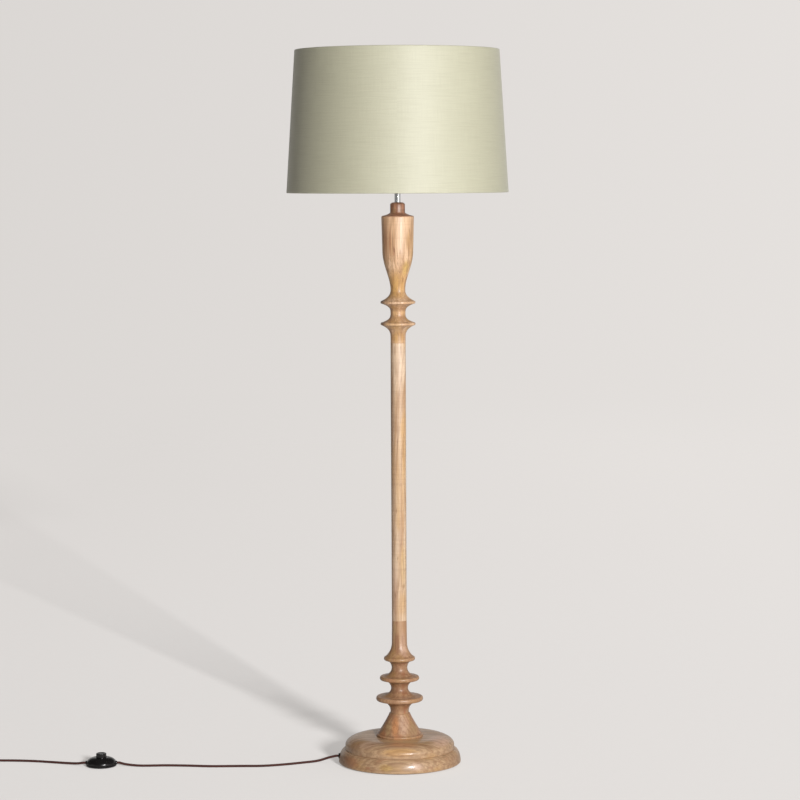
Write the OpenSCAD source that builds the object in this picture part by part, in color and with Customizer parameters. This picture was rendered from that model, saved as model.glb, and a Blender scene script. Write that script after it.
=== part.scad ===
// Candlestick floor lamp: turned wooden column on a two-tier foot, tapered drum
// shade, foot switch on the flex. Millimetres, +Z up.
// The origin is the centre of the foot's underside, on the floor.

/* [Foot] */
// Thickness of the felt pad under the foot
felt_t = 2; // [1:0.5:4]
// How far the felt stays inside the edge of the plinth
felt_inset = 8; // [3:1:16]
// Radius of the plinth, the lower tier of the foot
plinth_r = 128.2; // [118:0.2:150]
// Height of the plinth
plinth_h = 28; // [28:0.5:36]
// Width of the rounding on the plinth's top edge
plinth_round_w = 14; // [4:0.5:14]
// Height of the rounding on the plinth's top edge
plinth_round_h = 26; // [8:0.5:26]
// Radius of the upper tier of the foot
tier_r = 114.5; // [106:0.5:116]
// Height of the upper tier
tier_h = 27; // [24:0.5:36]
// Width of the bullnose on the upper tier
tier_round_w = 37; // [8:1:50]
// Height of the bullnose on the upper tier
tier_round_h = 18; // [6:0.5:22]
// Depth of the recess under the plinth
recess_d = 18; // [17:0.5:20]
// Radius of the pocket for the lower nut
nut_pocket_r = 20; // [17:0.5:21]

/* [Weight] */
// Outer radius of the cast iron ring
weight_r = 80; // [74:1:88]
// Radius of the hole in the ring
weight_hole_r = 23; // [22:0.5:28]
// Thickness of the ring
weight_t = 15; // [10:0.5:16]
// Width of the slot for the flex
weight_slot_w = 30; // [26:1:36]
// Radius on which the weight's screws stand
weight_screw_ring_r = 52; // [45:1:56]
// Number of screws in the weight
weight_screw_count = 3; // [3:2:5]
// Radius on which the plinth's screws stand
base_screw_ring_r = 66; // [62:1:68]
// Number of screws between the tiers
base_screw_count = 4; // [4:4:8]
// Shank radius of the wood screws
wood_screw_r = 2.2; // [1.5:0.1:2.6]
// Head radius of the wood screws
wood_screw_head_r = 4.2; // [3.5:0.1:5]
// Head height of the wood screws
wood_screw_head_h = 2.4; // [1.5:0.1:2.6]
// Grip of the wood screws in the wood behind the screwed piece
wood_screw_grip = 9; // [6:0.5:10]

/* [Cone] */
// Radius of the cone's foot
cone_foot_r = 49; // [44:0.5:56]
// Height of the lip at the cone's foot
cone_lip_h = 5; // [3:0.5:8]
// Height of the cone
cone_h = 49; // [40:0.5:70]
// Radius of the cone's sharp top edge
cone_top_r = 21.3; // [20.5:0.1:26]

/* [Lower turning] */
// Height of the lower turning
lower_h = 196; // [190:1:240]
// Radius of its lowest neck
neck_a_r = 19.2; // [17:0.1:21]
// Height of that neck above the turning's foot
neck_a_z = 5; // [2:0.5:12]
// Radius of the lowest disc
disc_a_r = 49.3; // [42:0.1:56]
// Height of the middle of the lowest disc
disc_a_z = 30.9; // [28:0.1:36]
// Rim thickness of the lowest disc
disc_a_t = 9.4; // [4:0.2:11]
// Radius of the neck above the lowest disc
neck_b_r = 17.7; // [15:0.1:20]
// Radius of the middle disc
disc_b_r = 41.4; // [35:0.1:48]
// Height of the middle of the middle disc
disc_b_z = 74; // [68:0.1:80]
// Rim thickness of the middle disc
disc_b_t = 8; // [4:0.2:10]
// Radius of the neck above the middle disc
neck_c_r = 16.4; // [14.5:0.1:19]
// Radius of the top ring
ring_c_r = 32.7; // [27:0.1:38]
// Height of the middle of the top ring
ring_c_z = 115.6; // [110:0.1:122]
// Rim thickness of the top ring
ring_c_t = 7.6; // [3:0.2:9]
// Height over which the flare above the top ring thins to the pole
flare_h = 40; // [25:1:70]

/* [Pole] */
// Length of the plain pole between its shoulders
pole_l = 583; // [400:1:700]
// Radius of the pole at its lower end
pole_r = 15.5; // [14.5:0.1:20]
// Radius of the pole at its upper end
pole_top_r = 15.7; // [14.5:0.1:20]
// Radius of the spigots that join the turned pieces
spigot_r = 9; // [8:0.1:10]
// Length of those spigots
spigot_l = 22; // [12:1:30]
// Radius of the cone's spigot in the foot
foot_spigot_r = 19; // [14:0.5:24]
// Length of the cone's spigot in the foot
foot_spigot_l = 18; // [10:0.5:20]

/* [Upper turning] */
// Height of the upper turning
upper_h = 263; // [240:1:300]
// Height of the middle of its lower thin ring
ring_d_z = 40.2; // [36:0.1:48]
// Height of the middle of its upper thin ring
ring_e_z = 85; // [80:0.1:92]
// Radius of both thin rings
thin_ring_r = 36.4; // [30:0.1:42]
// Rim thickness of both thin rings
thin_ring_t = 5.4; // [2.6:0.2:7]
// Radius of the waist between the thin rings
waist_r = 15.6; // [14:0.1:18]
// Radius of the neck below the cup
cup_neck_r = 15.3; // [14:0.1:18]
// Height of the neck below the cup
cup_neck_z = 112; // [106:0.5:118]
// Radius of the cup where its swell ends
cup_belly_r = 32.1; // [27:0.1:38]
// Height where the cup's swell ends
cup_belly_z = 193; // [175:1:205]
// Radius of the cup's rim
cup_rim_r = 34; // [28:0.1:40]
// Radius of the recess in the cup
cup_recess_r = 20; // [16:0.5:23]
// Depth of the recess in the cup
cup_recess_d = 38; // [24:1:50]

/* [Cap] */
// Height of the cap's sloping shoulder
cap_shoulder_h = 9; // [6:0.5:16]
// Radius of the cap's collar
cap_collar_r = 15.4; // [12:0.1:19]
// Height of the whole cap
cap_h = 29; // [24:0.5:44]
// Height of the domed top of the cap
cap_dome_h = 5; // [3:0.5:10]
// Radius of the flat at the top of the dome
cap_flat_r = 7.5; // [7:0.5:11]
// Depth of the cap's plug in the cup
cap_plug_l = 12; // [6:0.5:16]

/* [Rod] */
// Radius of the threaded rod
rod_r = 5; // [4.5:0.1:5.5]
// Radius of the bore for the flex in the rod
rod_bore_r = 3.75; // [3:0.05:4]
// Radial room around the rod in the wood
rod_room = 0.4; // [0.2:0.1:1]
// How far the rod stands out below the lower nut
rod_end = 1.5; // [0.5:0.1:3]
// Thickness of the rod's nuts
nut_t = 5; // [3:0.5:6]
// Width across the flats of the rod's nuts
nut_flats = 17; // [15:0.5:19]
// Radius of the rod's washers
washer_r = 14; // [11:0.5:16]
// Thickness of the rod's washers
washer_t = 2; // [1:0.5:3]
// Radius of the chrome stem
stem_r = 6.4; // [5.8:0.1:8]
// Length of the chrome stem
stem_l = 28; // [18:0.5:40]

/* [Lampholder] */
// Height of the lower shell of the lampholder
holder_cap_h = 27; // [24:0.5:34]
// Radius of the neck that screws on the rod
holder_neck_r = 8.5; // [7.5:0.1:10]
// Height of that neck
holder_neck_h = 9; // [7:0.5:11]
// Radius of the lampholder's threaded upper shell
holder_r = 19.6; // [18.5:0.1:20.2]
// Height of the upper shell
holder_body_h = 34; // [30:0.5:40]
// Wall of the lampholder's shells
holder_wall = 2; // [1.2:0.1:2.4]
// Radius of the flange that carries the shade
flange_r = 23.5; // [22:0.1:24]
// Thickness of the flange
flange_t = 2; // [1.5:0.1:3]
// Height of the flange's upper face in the upper shell
flange_top = 7; // [5:0.5:9]
// Height of the insulating core
core_h = 12; // [9:0.5:14]
// Inner radius of the screw shell
shell_bore_r = 13.5; // [13.4:0.05:13.7]
// Wall of the screw shell
shell_wall = 0.6; // [0.4:0.1:0.8]
// Height of the screw shell
shell_h = 24; // [18:0.5:25]
// Inner radius of the lip at the lampholder's mouth
mouth_r = 14.2; // [13.9:0.1:15]
// Outer radius of the clamp ring
clamp_r = 24; // [23:0.1:24.4]
// Height of the clamp ring
clamp_h = 8; // [5:0.5:12]
// Number of grip notches round the clamp ring
clamp_notches = 24; // [12:2:36]

/* [Bulb] */
// Radius of the bulb's screw cap
bulb_cap_r = 13.2; // [13:0.05:13.2]
// Height of the bulb's screw cap
bulb_cap_h = 20; // [17:0.5:23]
// Radius of the glass bulb
bulb_r = 30; // [22:0.5:34]
// Whole length of the bulb
bulb_l = 105; // [98:0.5:115]
// Wall of the glass
glass_t = 0.9; // [0.6:0.1:1.5]

/* [Shade] */
// Radius of the shade's lower edge
shade_r = 230; // [180:1:280]
// Radius of the shade's upper edge
shade_top_r = 211.5; // [160:0.5:260]
// Height of the shade
shade_h = 294; // [220:1:340]
// Thickness of the fabric
fabric_t = 0.6; // [0.3:0.1:1]
// Thickness of the lining sheet
liner_t = 0.8; // [0.4:0.1:1.2]
// Width of the turned-in edges of the fabric
hem_w = 5; // [3:0.5:8]
// Radius of the shade's wires
wire_r = 2; // [1.5:0.1:3]
// Height of the fitter ring above the shade's lower edge
fitter_rise = 42; // [30:1:60]
// Outer radius of the fitter ring
fitter_r = 27.5; // [26.5:0.1:32]
// Radius of the fitter ring's hole
fitter_hole_r = 20.6; // [20.4:0.1:21]
// Thickness of the fitter ring
fitter_t = 2; // [1.5:0.1:3]
// Number of the shade's arms
arm_count = 3; // [3:1:4]

/* [Foot switch] */
// Radius of the foot switch
switch_r = 31.5; // [30:0.5:36]
// Height of the switch's dome above the floor
switch_h = 19; // [16:0.5:22]
// Radius of the button
button_r = 10.7; // [9:0.1:12]
// Height of the button above the dome
button_rise = 8.5; // [6:0.5:12]
// Wall of the switch's cover
switch_wall = 2; // [1.5:0.1:2.5]
// Thickness of the rubber pad under the switch
switch_pad_t = 1.5; // [1:0.1:2.5]
// Thickness of the switch's base plate
switch_base_t = 2.5; // [2:0.1:3.5]
// Distance of the switch from the lamp's axis, along -X
switch_x = 626.5; // [560:0.5:700]
// Distance of the switch in front of the lamp's axis
switch_y = 26; // [0:1:60]

/* [Flex] */
// Diameter of the flex
flex_d = 5; // [4:0.1:5]
// Height of the flex where it leaves the foot
exit_z = 14; // [12.5:0.5:15]
// Radius of the bush's collar
bush_r = 5.5; // [5:0.1:6]
// Length of the bush's collar
bush_collar_l = 4; // [3:0.5:6]
// Bend radius of the flex under the rod
flex_bend_r = 15; // [12:0.5:15]
// Radius of the coil's outermost turn
coil_r = 38.5; // [34:0.5:48]
// Distance between the coil's turns and between its layers
coil_pitch = 5.6; // [5.5:0.1:6.5]
// Turns in the whole coil
coil_turns = 6.25; // [4.25:1:6.25]
// Distance of the coil's centre from the lamp's axis, along -X
coil_x = 910; // [890:5:980]
// Distance of the coil's entry behind the lamp's axis
coil_y = 18; // [0:1:40]
// Thickness of the strap that ties the coil
tie_t = 0.7; // [0.4:0.1:0.8]
// Width of that strap
tie_w = 8; // [5:0.5:10]

/* [Plug] */
// Width of the plug
plug_w = 35.3; // [30:0.1:40]
// Thickness of the plug
plug_t = 13.7; // [13:0.1:20]
// Length of the plug's body
plug_l = 36; // [28:0.5:45]
// Radius of the pins
pin_r = 2; // [1.8:0.05:2.5]
// Length of the pins outside the plug
pin_l = 19; // [17:0.5:20]
// Distance between the pins
pin_gap = 18.6; // [17:0.1:20]
// Length of the sleeve where the flex enters the plug
relief_l = 24; // [20:1:40]

/* [Hidden] */
$fn = 96;
ARC_STEPS = 10;
CURVE_STEPS = 14;
GLUE_GAP = 0.1;         // round a glued spigot
SEAT_GAP = 0.1;         // between pieces that only rest near each other
RUN_GAP = 0.3;          // radial room between pieces that turn or slide
EDGE_R = 1.5;           // small broken edges of the turned wood

// Heights of the stacked pieces
plinth_z = felt_t;
tier_z = plinth_z + plinth_h;
cone_z = tier_z + tier_h;
lower_z = cone_z + cone_h;
pole_z = lower_z + lower_h;
upper_z = pole_z + pole_l;
cap_z = upper_z + upper_h;
stem_z = cap_z + cap_h;
holder_z = stem_z + stem_l;
holder_body_z = holder_z + holder_cap_h;
seat_z = holder_body_z + flange_top;    // where the shade's fitter ring sits
shade_z = seat_z - fitter_rise;
shade_top_z = shade_z + shade_h;

rod_hole_r = rod_r + rod_room;
recess_r = weight_r + 1;
recess_z = plinth_z + recess_d;
weight_z = recess_z - weight_t;
rod_z = tier_z - washer_t - nut_t - rod_end;
cup_floor_z = cap_z - cup_recess_d;

// Lampholder and bulb
core_ledge_z = holder_body_z - core_h + 2;
core_top_z = core_ledge_z + core_h;
core_r = holder_r - holder_wall - 1.2;
contact_h = 2.6;
contact_r = 3.2;
rod_top_z = holder_z + holder_neck_h;
bulb_z = core_top_z + contact_h + SEAT_GAP;
tip_h = 2;
tip_r = 4.6;
insulator_h = 4.4;
bulb_cap_z = bulb_z + tip_h + insulator_h;
bulb_neck_z = bulb_cap_z + bulb_cap_h;
bulb_top_z = bulb_z + bulb_l;
bulb_centre_z = bulb_top_z - bulb_r;

// Foot switch
base_plate_z = switch_pad_t;
base_plate_top_z = base_plate_z + switch_base_t;
skirt_top_z = 6;
skirt_gap = 1;          // between the cover's lower edge and the floor
crown_r = button_r + 1.3;
switch_flex_z = 7;
boss_r = 4.4;
boss_x = switch_r + 1.5;

// Flex
flex_r = flex_d / 2;
bush_x = plinth_r + 1;
plug_z = plug_t / 2;
plug_x = coil_x + coil_r;
coil_centre_y = coil_y + coil_r;
coil_end_y = coil_centre_y + flex_d;
coil_z = flex_r + tie_t + GLUE_GAP;     // the strap runs under the coil
plug_lead_l = 40;
relief_y = coil_end_y + plug_lead_l;
plug_y = relief_y + relief_l;

// The flex on the floor, from the foot to the switch and on to the coil
route_to_switch = [[-151, 0, 10], [-169, -1, 4.6], [-192, -7, flex_r], [-236, -27, flex_r],
    [-285, -42, flex_r], [-335, -43, flex_r], [-395, -44, flex_r], [-440, -38, flex_r],
    [-490, -34, flex_r], [-540, -36, flex_r], [-572, -30, 4]];
route_to_coil = [[-684, -18, 4], [-735, 2, flex_r], [-785, 15, flex_r], [-845, 20, flex_r]];

WOOD = [0.70, 0.52, 0.36];
WOOD_PALE = [0.80, 0.65, 0.48];
WOOD_DARK = [0.58, 0.38, 0.25];
BRASS = [0.80, 0.65, 0.35];
STEEL = [0.70, 0.71, 0.72];
BLACK = [0.08, 0.08, 0.08];
WHITE = [0.90, 0.89, 0.86];
FLEX = [0.28, 0.13, 0.09];

// ---------- outlines ----------

// Points of an elliptical arc about (cr, cz) from angle a0 to angle a1
function arc(cr, cz, ra, za, a0, a1, steps = ARC_STEPS) =
    [for (i = [0:steps])
        let (a = a0 + (a1 - a0) * i / steps)
        [cr + ra * cos(a), cz + za * sin(a)]];

// Rounded rim of a disc: radius r, middle height z, thickness t
RIM_DEPTH = 0.35;       // how deep the rounding goes, as a share of the rim's thickness
function rim(r, z, t) = arc(r - RIM_DEPTH * t, z, RIM_DEPTH * t, t / 2, -90, 90, 8);

// Radius where a rim's rounding ends
function rim_foot(r, t) = r - RIM_DEPTH * t;

// Concave stretch from a rim (r0, z0) to a neck (r1, z1), steep at the rim for a large power
function flare(r0, z0, r1, z1, power) =
    [for (i = [0:CURVE_STEPS])
        let (t = i / CURVE_STEPS)
        [r1 + (r0 - r1) * pow(1 - t, power), z0 + (z1 - z0) * t]];

function reversed(list) = [for (i = [len(list) - 1:-1:0]) list[i]];

// S-shaped stretch with upright ends from (r0, z0) to (r1, z1), fuller below for a power under 1
function swell(r0, z0, r1, z1, power = 1) =
    [for (i = [0:CURVE_STEPS])
        let (t = i / CURVE_STEPS)
        [r0 + (r1 - r0) * (1 - cos(180 * pow(t, power))) / 2, z0 + (z1 - z0) * t]];

// Concave quarter of an ellipse from a rim (r0, z0) to a neck (r1, z1)
function cove(r0, z0, r1, z1) =
    [for (i = [0:ARC_STEPS])
        let (a = 90 * i / ARC_STEPS)
        [r0 + (r1 - r0) * sin(a), z1 + (z0 - z1) * cos(a)]];

// A turned piece: its outline from (r, 0) to (r, h), a spigot below and a socket above
module turned(outline, hole_r, spigot = [0, 0], socket = [0, 0]) {
    top = outline[len(outline) - 1][1];
    inside = [[hole_r, top - socket[1]], [hole_r, -spigot[1]]];
    lower = spigot[1] > 0 ? [[spigot[0], -spigot[1]], [spigot[0], 0]] : [];
    upper = socket[1] > 0 ? [[socket[0], top], [socket[0], top - socket[1]]] : [];
    rotate_extrude() polygon(concat(inside, lower, outline, upper));
}

module ring(outer_r, inner_r, height) {
    difference() {
        cylinder(r = outer_r, h = height);
        translate([0, 0, -1]) cylinder(r = inner_r, h = height + 2);
    }
}

module pan_screw(head_r, head_h, shank_r, length) {
    translate([0, 0, -head_h]) cylinder(r = head_r, h = head_h);
    cylinder(r = shank_r, h = length);
}

// Copies its child at equal angles on a circle, from the angle start
module around(count, radius, start = 0) {
    for (i = [0:count - 1]) rotate([0, 0, start + 360 * i / count]) translate([radius, 0, 0]) children();
}

// ---------- flex ----------

function unit(v) = v / norm(v);

// Catmull-Rom curve through the points, with the given steps in each stretch
function smooth(p, steps) =
    let (n = len(p))
    concat([for (i = [0:n - 2], k = [0:steps - 1])
        let (a = p[max(i - 1, 0)], b = p[i], c = p[i + 1], d = p[min(i + 2, n - 1)], t = k / steps)
        0.5 * (2 * b + (c - a) * t + (2 * a - 5 * b + 4 * c - d) * t * t
            + (3 * b - 3 * c + d - a) * t * t * t)],
        [p[n - 1]]);

// Round tube along points, with one flat across each end
module tube_along(points, radius, sides, up = [0, 0, 1]) {
    n = len(points);
    dirs = [for (i = [0:n - 1]) unit(points[min(i + 1, n - 1)] - points[max(i - 1, 0)])];
    verts = [for (i = [0:n - 1], k = [0:sides - 1])
        let (side = unit(cross(dirs[i], up)), over = cross(side, dirs[i]), a = -90 + 360 * k / sides)
        points[i] + radius * (cos(a) * side + sin(a) * over)];
    walls = [for (i = [0:n - 2], k = [0:sides - 1])
        let (a = i * sides + k, b = i * sides + (k + 1) % sides)
        each [[a, a + sides, b], [b, a + sides, b + sides]]];
    caps = [for (k = [1:sides - 2])
        each [[0, k, k + 1], [(n - 1) * sides, (n - 1) * sides + k + 1, (n - 1) * sides + k]]];
    polyhedron(points = verts, faces = concat(walls, caps));
}

// The coil winds in on the floor and out again on top of itself, clockwise from above
RINGS_PER_TURN = 24;
coil_rings = coil_turns * RINGS_PER_TURN;
function coil_point(turn) =
    let (r = coil_r - coil_pitch * min(turn, coil_turns - turn),
        climb = min(max(turn - coil_turns / 2 + 0.25, 0) / 0.5, 1),
        a = -90 - 360 * turn)
    [-coil_x + r * cos(a), coil_centre_y + r * sin(a), coil_z + coil_pitch * climb];
coil_first = [-coil_x + flex_d, coil_y, coil_z];
coil_last = coil_point(coil_turns) + [0, flex_d, 0];
coil_points = concat([coil_first], [for (i = [0:coil_rings]) coil_point(i / RINGS_PER_TURN)], [coil_last]);

// Least gap of the coil to itself, between rings at least half a turn apart
coil_gap = min([for (i = [0:coil_rings - RINGS_PER_TURN / 2], j = [i + RINGS_PER_TURN / 2:coil_rings])
    norm(coil_points[i] - coil_points[j])]) - flex_d;
echo(coil_gap = coil_gap);

// ---------- foot ----------

module base_felt() {
    color([0.20, 0.17, 0.14]) cylinder(r = plinth_r - felt_inset, h = felt_t);
}

plinth_outline = concat([[plinth_r - EDGE_R, 0], [plinth_r, EDGE_R]],
    arc(plinth_r - plinth_round_w, plinth_h - plinth_round_h, plinth_round_w, plinth_round_h, 0, 90, 16));

module base_plinth() {
    color(WOOD) difference() {
        translate([0, 0, plinth_z]) turned(plinth_outline, nut_pocket_r);
        translate([0, 0, plinth_z - 1]) cylinder(r = recess_r, h = recess_d + 1);
        // way out for the flex, with a counterbore for the bush's collar
        translate([0, 0, exit_z]) rotate([0, -90, 0]) {
            cylinder(r = bush_r - 1 + GLUE_GAP, h = plinth_r + 1);
            translate([0, 0, bush_x - bush_collar_l]) cylinder(r = bush_r + GLUE_GAP, h = bush_collar_l + 1);
        }
        translate([0, 0, recess_z]) {
            around(base_screw_count, base_screw_ring_r, 45) {
                translate([0, 0, -1]) cylinder(r = wood_screw_head_r + 0.3, h = wood_screw_head_h + 1);
                cylinder(r = wood_screw_r + GLUE_GAP, h = plinth_h);
            }
            around(weight_screw_count, weight_screw_ring_r)
                cylinder(r = wood_screw_r + GLUE_GAP / 2, h = wood_screw_grip + 0.5);
            for (side = [-1, 1]) translate([-clip_x, side * clip_screw_y, 0])
                cylinder(r = clip_screw_r + GLUE_GAP / 2, h = clip_screw_l);
        }
    }
}

tier_outline = concat([[tier_r, 0]],
    arc(tier_r - tier_round_w, tier_h - tier_round_h, tier_round_w, tier_round_h, 0, 90, 16));

module base_upper_disc() {
    color(WOOD) difference() {
        translate([0, 0, tier_z])
            turned(tier_outline, rod_hole_r, [0, 0], [foot_spigot_r + GLUE_GAP, foot_spigot_l + GLUE_GAP]);
        translate([0, 0, tier_z - 1]) around(base_screw_count, base_screw_ring_r, 45)
            cylinder(r = wood_screw_r + GLUE_GAP / 2, h = wood_screw_grip + 1.5);
    }
}

module base_weight() {
    color([0.20, 0.20, 0.21]) translate([0, 0, weight_z]) difference() {
        ring(weight_r, weight_hole_r, weight_t);
        translate([-weight_r - 1, -weight_slot_w / 2, -1]) cube([weight_r, weight_slot_w, weight_t + 2]);
        translate([0, 0, -1]) around(weight_screw_count, weight_screw_ring_r)
            cylinder(r = wood_screw_r + RUN_GAP, h = weight_t + 2);
    }
}

module weight_screws() {
    color(STEEL) translate([0, 0, weight_z]) around(weight_screw_count, weight_screw_ring_r)
        pan_screw(wood_screw_head_r, wood_screw_head_h, wood_screw_r, weight_t + wood_screw_grip);
}

module base_screws() {
    through = plinth_h - recess_d - wood_screw_head_h;
    color(STEEL) translate([0, 0, recess_z + wood_screw_head_h]) around(base_screw_count, base_screw_ring_r, 45)
        pan_screw(wood_screw_head_r, wood_screw_head_h, wood_screw_r, through + wood_screw_grip);
}

cone_lip_r = cone_lip_h / 2;
cone_outline = concat([[cone_foot_r - 1, 0]],
    arc(cone_foot_r - cone_lip_r, cone_lip_r, cone_lip_r, cone_lip_r, -30, 60, 6),
    flare(cone_foot_r - cone_lip_r, cone_lip_h, cone_top_r, cone_h, 1.12));

module foot_cone() {
    color(WOOD) translate([0, 0, cone_z])
        turned(cone_outline, rod_hole_r, [foot_spigot_r, foot_spigot_l],
            [spigot_r + GLUE_GAP, spigot_l + GLUE_GAP]);
}

// ---------- column ----------

neck_b_z = (disc_a_z + disc_b_z) / 2;
neck_c_z = (disc_b_z + ring_c_z) / 2 + 1;
lower_outline = concat(
    [[neck_a_r, 0]],
    reversed(cove(rim_foot(disc_a_r, disc_a_t), disc_a_z - disc_a_t / 2, neck_a_r, neck_a_z)),
    rim(disc_a_r, disc_a_z, disc_a_t),
    cove(rim_foot(disc_a_r, disc_a_t), disc_a_z + disc_a_t / 2, neck_b_r, neck_b_z),
    reversed(cove(rim_foot(disc_b_r, disc_b_t), disc_b_z - disc_b_t / 2, neck_b_r, neck_b_z)),
    rim(disc_b_r, disc_b_z, disc_b_t),
    cove(rim_foot(disc_b_r, disc_b_t), disc_b_z + disc_b_t / 2, neck_c_r, neck_c_z),
    reversed(cove(rim_foot(ring_c_r, ring_c_t), ring_c_z - ring_c_t / 2, neck_c_r, neck_c_z)),
    rim(ring_c_r, ring_c_z, ring_c_t),
    flare(rim_foot(ring_c_r, ring_c_t), ring_c_z + ring_c_t / 2, pole_r + 0.4, ring_c_z + flare_h, 3),
    [[pole_r, lower_h]]);

module lower_turning() {
    color(WOOD) translate([0, 0, lower_z])
        turned(lower_outline, rod_hole_r, [spigot_r, spigot_l], [spigot_r + GLUE_GAP, spigot_l + GLUE_GAP]);
}

module pole() {
    color(WOOD_PALE) translate([0, 0, pole_z])
        turned([[pole_r, 0], [pole_r + 0.1, pole_l / 3], [pole_top_r + 0.2, pole_l * 0.8], [pole_top_r, pole_l]],
            rod_hole_r, [spigot_r, spigot_l], [spigot_r + GLUE_GAP, spigot_l + GLUE_GAP]);
}

waist_z = (ring_d_z + ring_e_z) / 2;
thin_rim_r = rim_foot(thin_ring_r, thin_ring_t);
upper_outline = concat(
    [[pole_top_r, 0]],
    reversed(flare(thin_rim_r, ring_d_z - thin_ring_t / 2, pole_top_r, ring_d_z - 31, 3.4)),
    rim(thin_ring_r, ring_d_z, thin_ring_t),
    flare(thin_rim_r, ring_d_z + thin_ring_t / 2, waist_r, waist_z, 3.2),
    reversed(flare(thin_rim_r, ring_e_z - thin_ring_t / 2, waist_r, waist_z, 3.2)),
    rim(thin_ring_r, ring_e_z, thin_ring_t),
    flare(thin_rim_r, ring_e_z + thin_ring_t / 2, cup_neck_r, cup_neck_z, 2.6),
    swell(cup_neck_r, cup_neck_z, cup_belly_r, cup_belly_z, 0.9),
    [[cup_rim_r, upper_h - EDGE_R], [cup_rim_r - EDGE_R / 2, upper_h]]);

module upper_turning() {
    color(WOOD) translate([0, 0, upper_z])
        turned(upper_outline, rod_hole_r, [spigot_r, spigot_l], [cup_recess_r, cup_recess_d]);
}

cap_outline = concat([[cup_rim_r - EDGE_R / 2, 0]],
    flare(cup_rim_r - EDGE_R / 2, EDGE_R / 2, cap_collar_r, cap_shoulder_h, 2),
    arc(cap_flat_r, cap_h - cap_dome_h, cap_collar_r - cap_flat_r, cap_dome_h, 0, 90));

module cup_cap() {
    color(WOOD_DARK) translate([0, 0, cap_z])
        turned(cap_outline, rod_hole_r, [cup_recess_r - GLUE_GAP, cap_plug_l]);
}

// ---------- rod ----------

module threaded_tube() {
    color(STEEL) translate([0, 0, rod_z]) ring(rod_r, rod_bore_r, rod_top_z - rod_z);
}

module washer() {
    color(STEEL) ring(washer_r, rod_r + GLUE_GAP, washer_t);
}

module nut() {
    color(STEEL) difference() {
        cylinder(r = nut_flats / 2 / cos(30), h = nut_t, $fn = 6);
        translate([0, 0, -1]) cylinder(r = rod_r + GLUE_GAP / 4, h = nut_t + 2);
    }
}

module base_washer() {
    translate([0, 0, tier_z - washer_t]) washer();
}

module base_nut() {
    translate([0, 0, tier_z - washer_t - nut_t]) nut();
}

module cup_washer() {
    translate([0, 0, cup_floor_z]) washer();
}

module cup_nut() {
    translate([0, 0, cup_floor_z + washer_t]) nut();
}

module stem_sleeve() {
    color([0.85, 0.86, 0.88]) translate([0, 0, stem_z]) ring(stem_r, rod_r + GLUE_GAP, stem_l);
}

// ---------- flex in the foot and the rod ----------

clip_x = 66;
clip_w = 9;             // along the flex
clip_t = 1.2;
clip_screw_y = 8.5;
clip_screw_r = 1.4;
clip_screw_l = 7;
clip_ear_y = 12;

module cord_grommet() {
    color(BLACK) translate([0, 0, exit_z]) rotate([0, -90, 0]) difference() {
        union() {
            translate([0, 0, recess_r]) cylinder(r = bush_r - 1, h = bush_x - recess_r);
            translate([0, 0, bush_x - bush_collar_l]) cylinder(r = bush_r, h = bush_collar_l);
        }
        translate([0, 0, recess_r - 1]) cylinder(r = flex_r + GLUE_GAP / 2, h = bush_x);
    }
}

// Saddle that presses the flex to the roof of the recess through a packing block
module cord_clip() {
    saddle_r = flex_r + clip_t;
    color(STEEL) translate([-clip_x, 0, 0]) rotate([0, -90, 0]) translate([0, 0, -clip_w / 2]) difference() {
        union() {
            translate([recess_z - clip_t, -clip_ear_y, 0]) cube([clip_t, 2 * clip_ear_y, clip_w]);
            translate([exit_z, -saddle_r, 0]) cube([recess_z - exit_z, 2 * saddle_r, clip_w]);
            translate([exit_z, 0, 0]) cylinder(r = saddle_r, h = clip_w);
        }
        translate([exit_z, 0, -1]) cylinder(r = flex_r + GLUE_GAP / 2, h = clip_w + 2);
        for (side = [-1, 1]) translate([0, side * clip_screw_y, clip_w / 2])
            rotate([0, 90, 0]) cylinder(r = clip_screw_r + GLUE_GAP, h = recess_z + 1);
    }
}

module clip_screws() {
    color(STEEL) for (side = [-1, 1]) translate([-clip_x, side * clip_screw_y, recess_z - clip_t])
        pan_screw(2.6, 1.6, clip_screw_r, clip_screw_l + clip_t - 0.5);
}

inner_low_z = rod_z - flex_bend_r;
inner_route = concat(
    [[-bush_x, 0, exit_z], [-clip_x + 8, 0, exit_z]],
    [for (i = [1:5]) let (t = i / 6)
        [-clip_x + 8 + (clip_x - 8 - flex_bend_r - 8) * t, 0,
            exit_z + (inner_low_z - exit_z) * (1 - cos(180 * t)) / 2]],
    [for (i = [0:8]) let (a = 90 * i / 8)
        [-flex_bend_r * (1 - sin(a)), 0, inner_low_z + flex_bend_r * (1 - cos(a))]],
    [[0, 0, core_ledge_z]]);

module inner_flex() {
    color(FLEX) tube_along(inner_route, flex_r, 10, [0, 1, 0]);
}

// ---------- lampholder ----------

module holder_cap() {
    neck_top = holder_z + holder_neck_h;
    ledge_r = core_r - 1.5;
    color(BLACK) rotate_extrude() polygon(concat(
        [[rod_r + GLUE_GAP / 4, holder_z], [holder_neck_r, holder_z], [holder_neck_r, neck_top - 2]],
        arc(holder_neck_r, core_ledge_z + 2, holder_r - holder_neck_r, core_ledge_z + 4 - neck_top, -90, 0),
        [[holder_r, holder_body_z], [core_r + SEAT_GAP, holder_body_z], [core_r + SEAT_GAP, core_ledge_z]],
        [[ledge_r, core_ledge_z], [ledge_r, core_ledge_z - 2], [holder_neck_r - 1, neck_top],
            [rod_r + GLUE_GAP / 4, neck_top]]));
}

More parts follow.
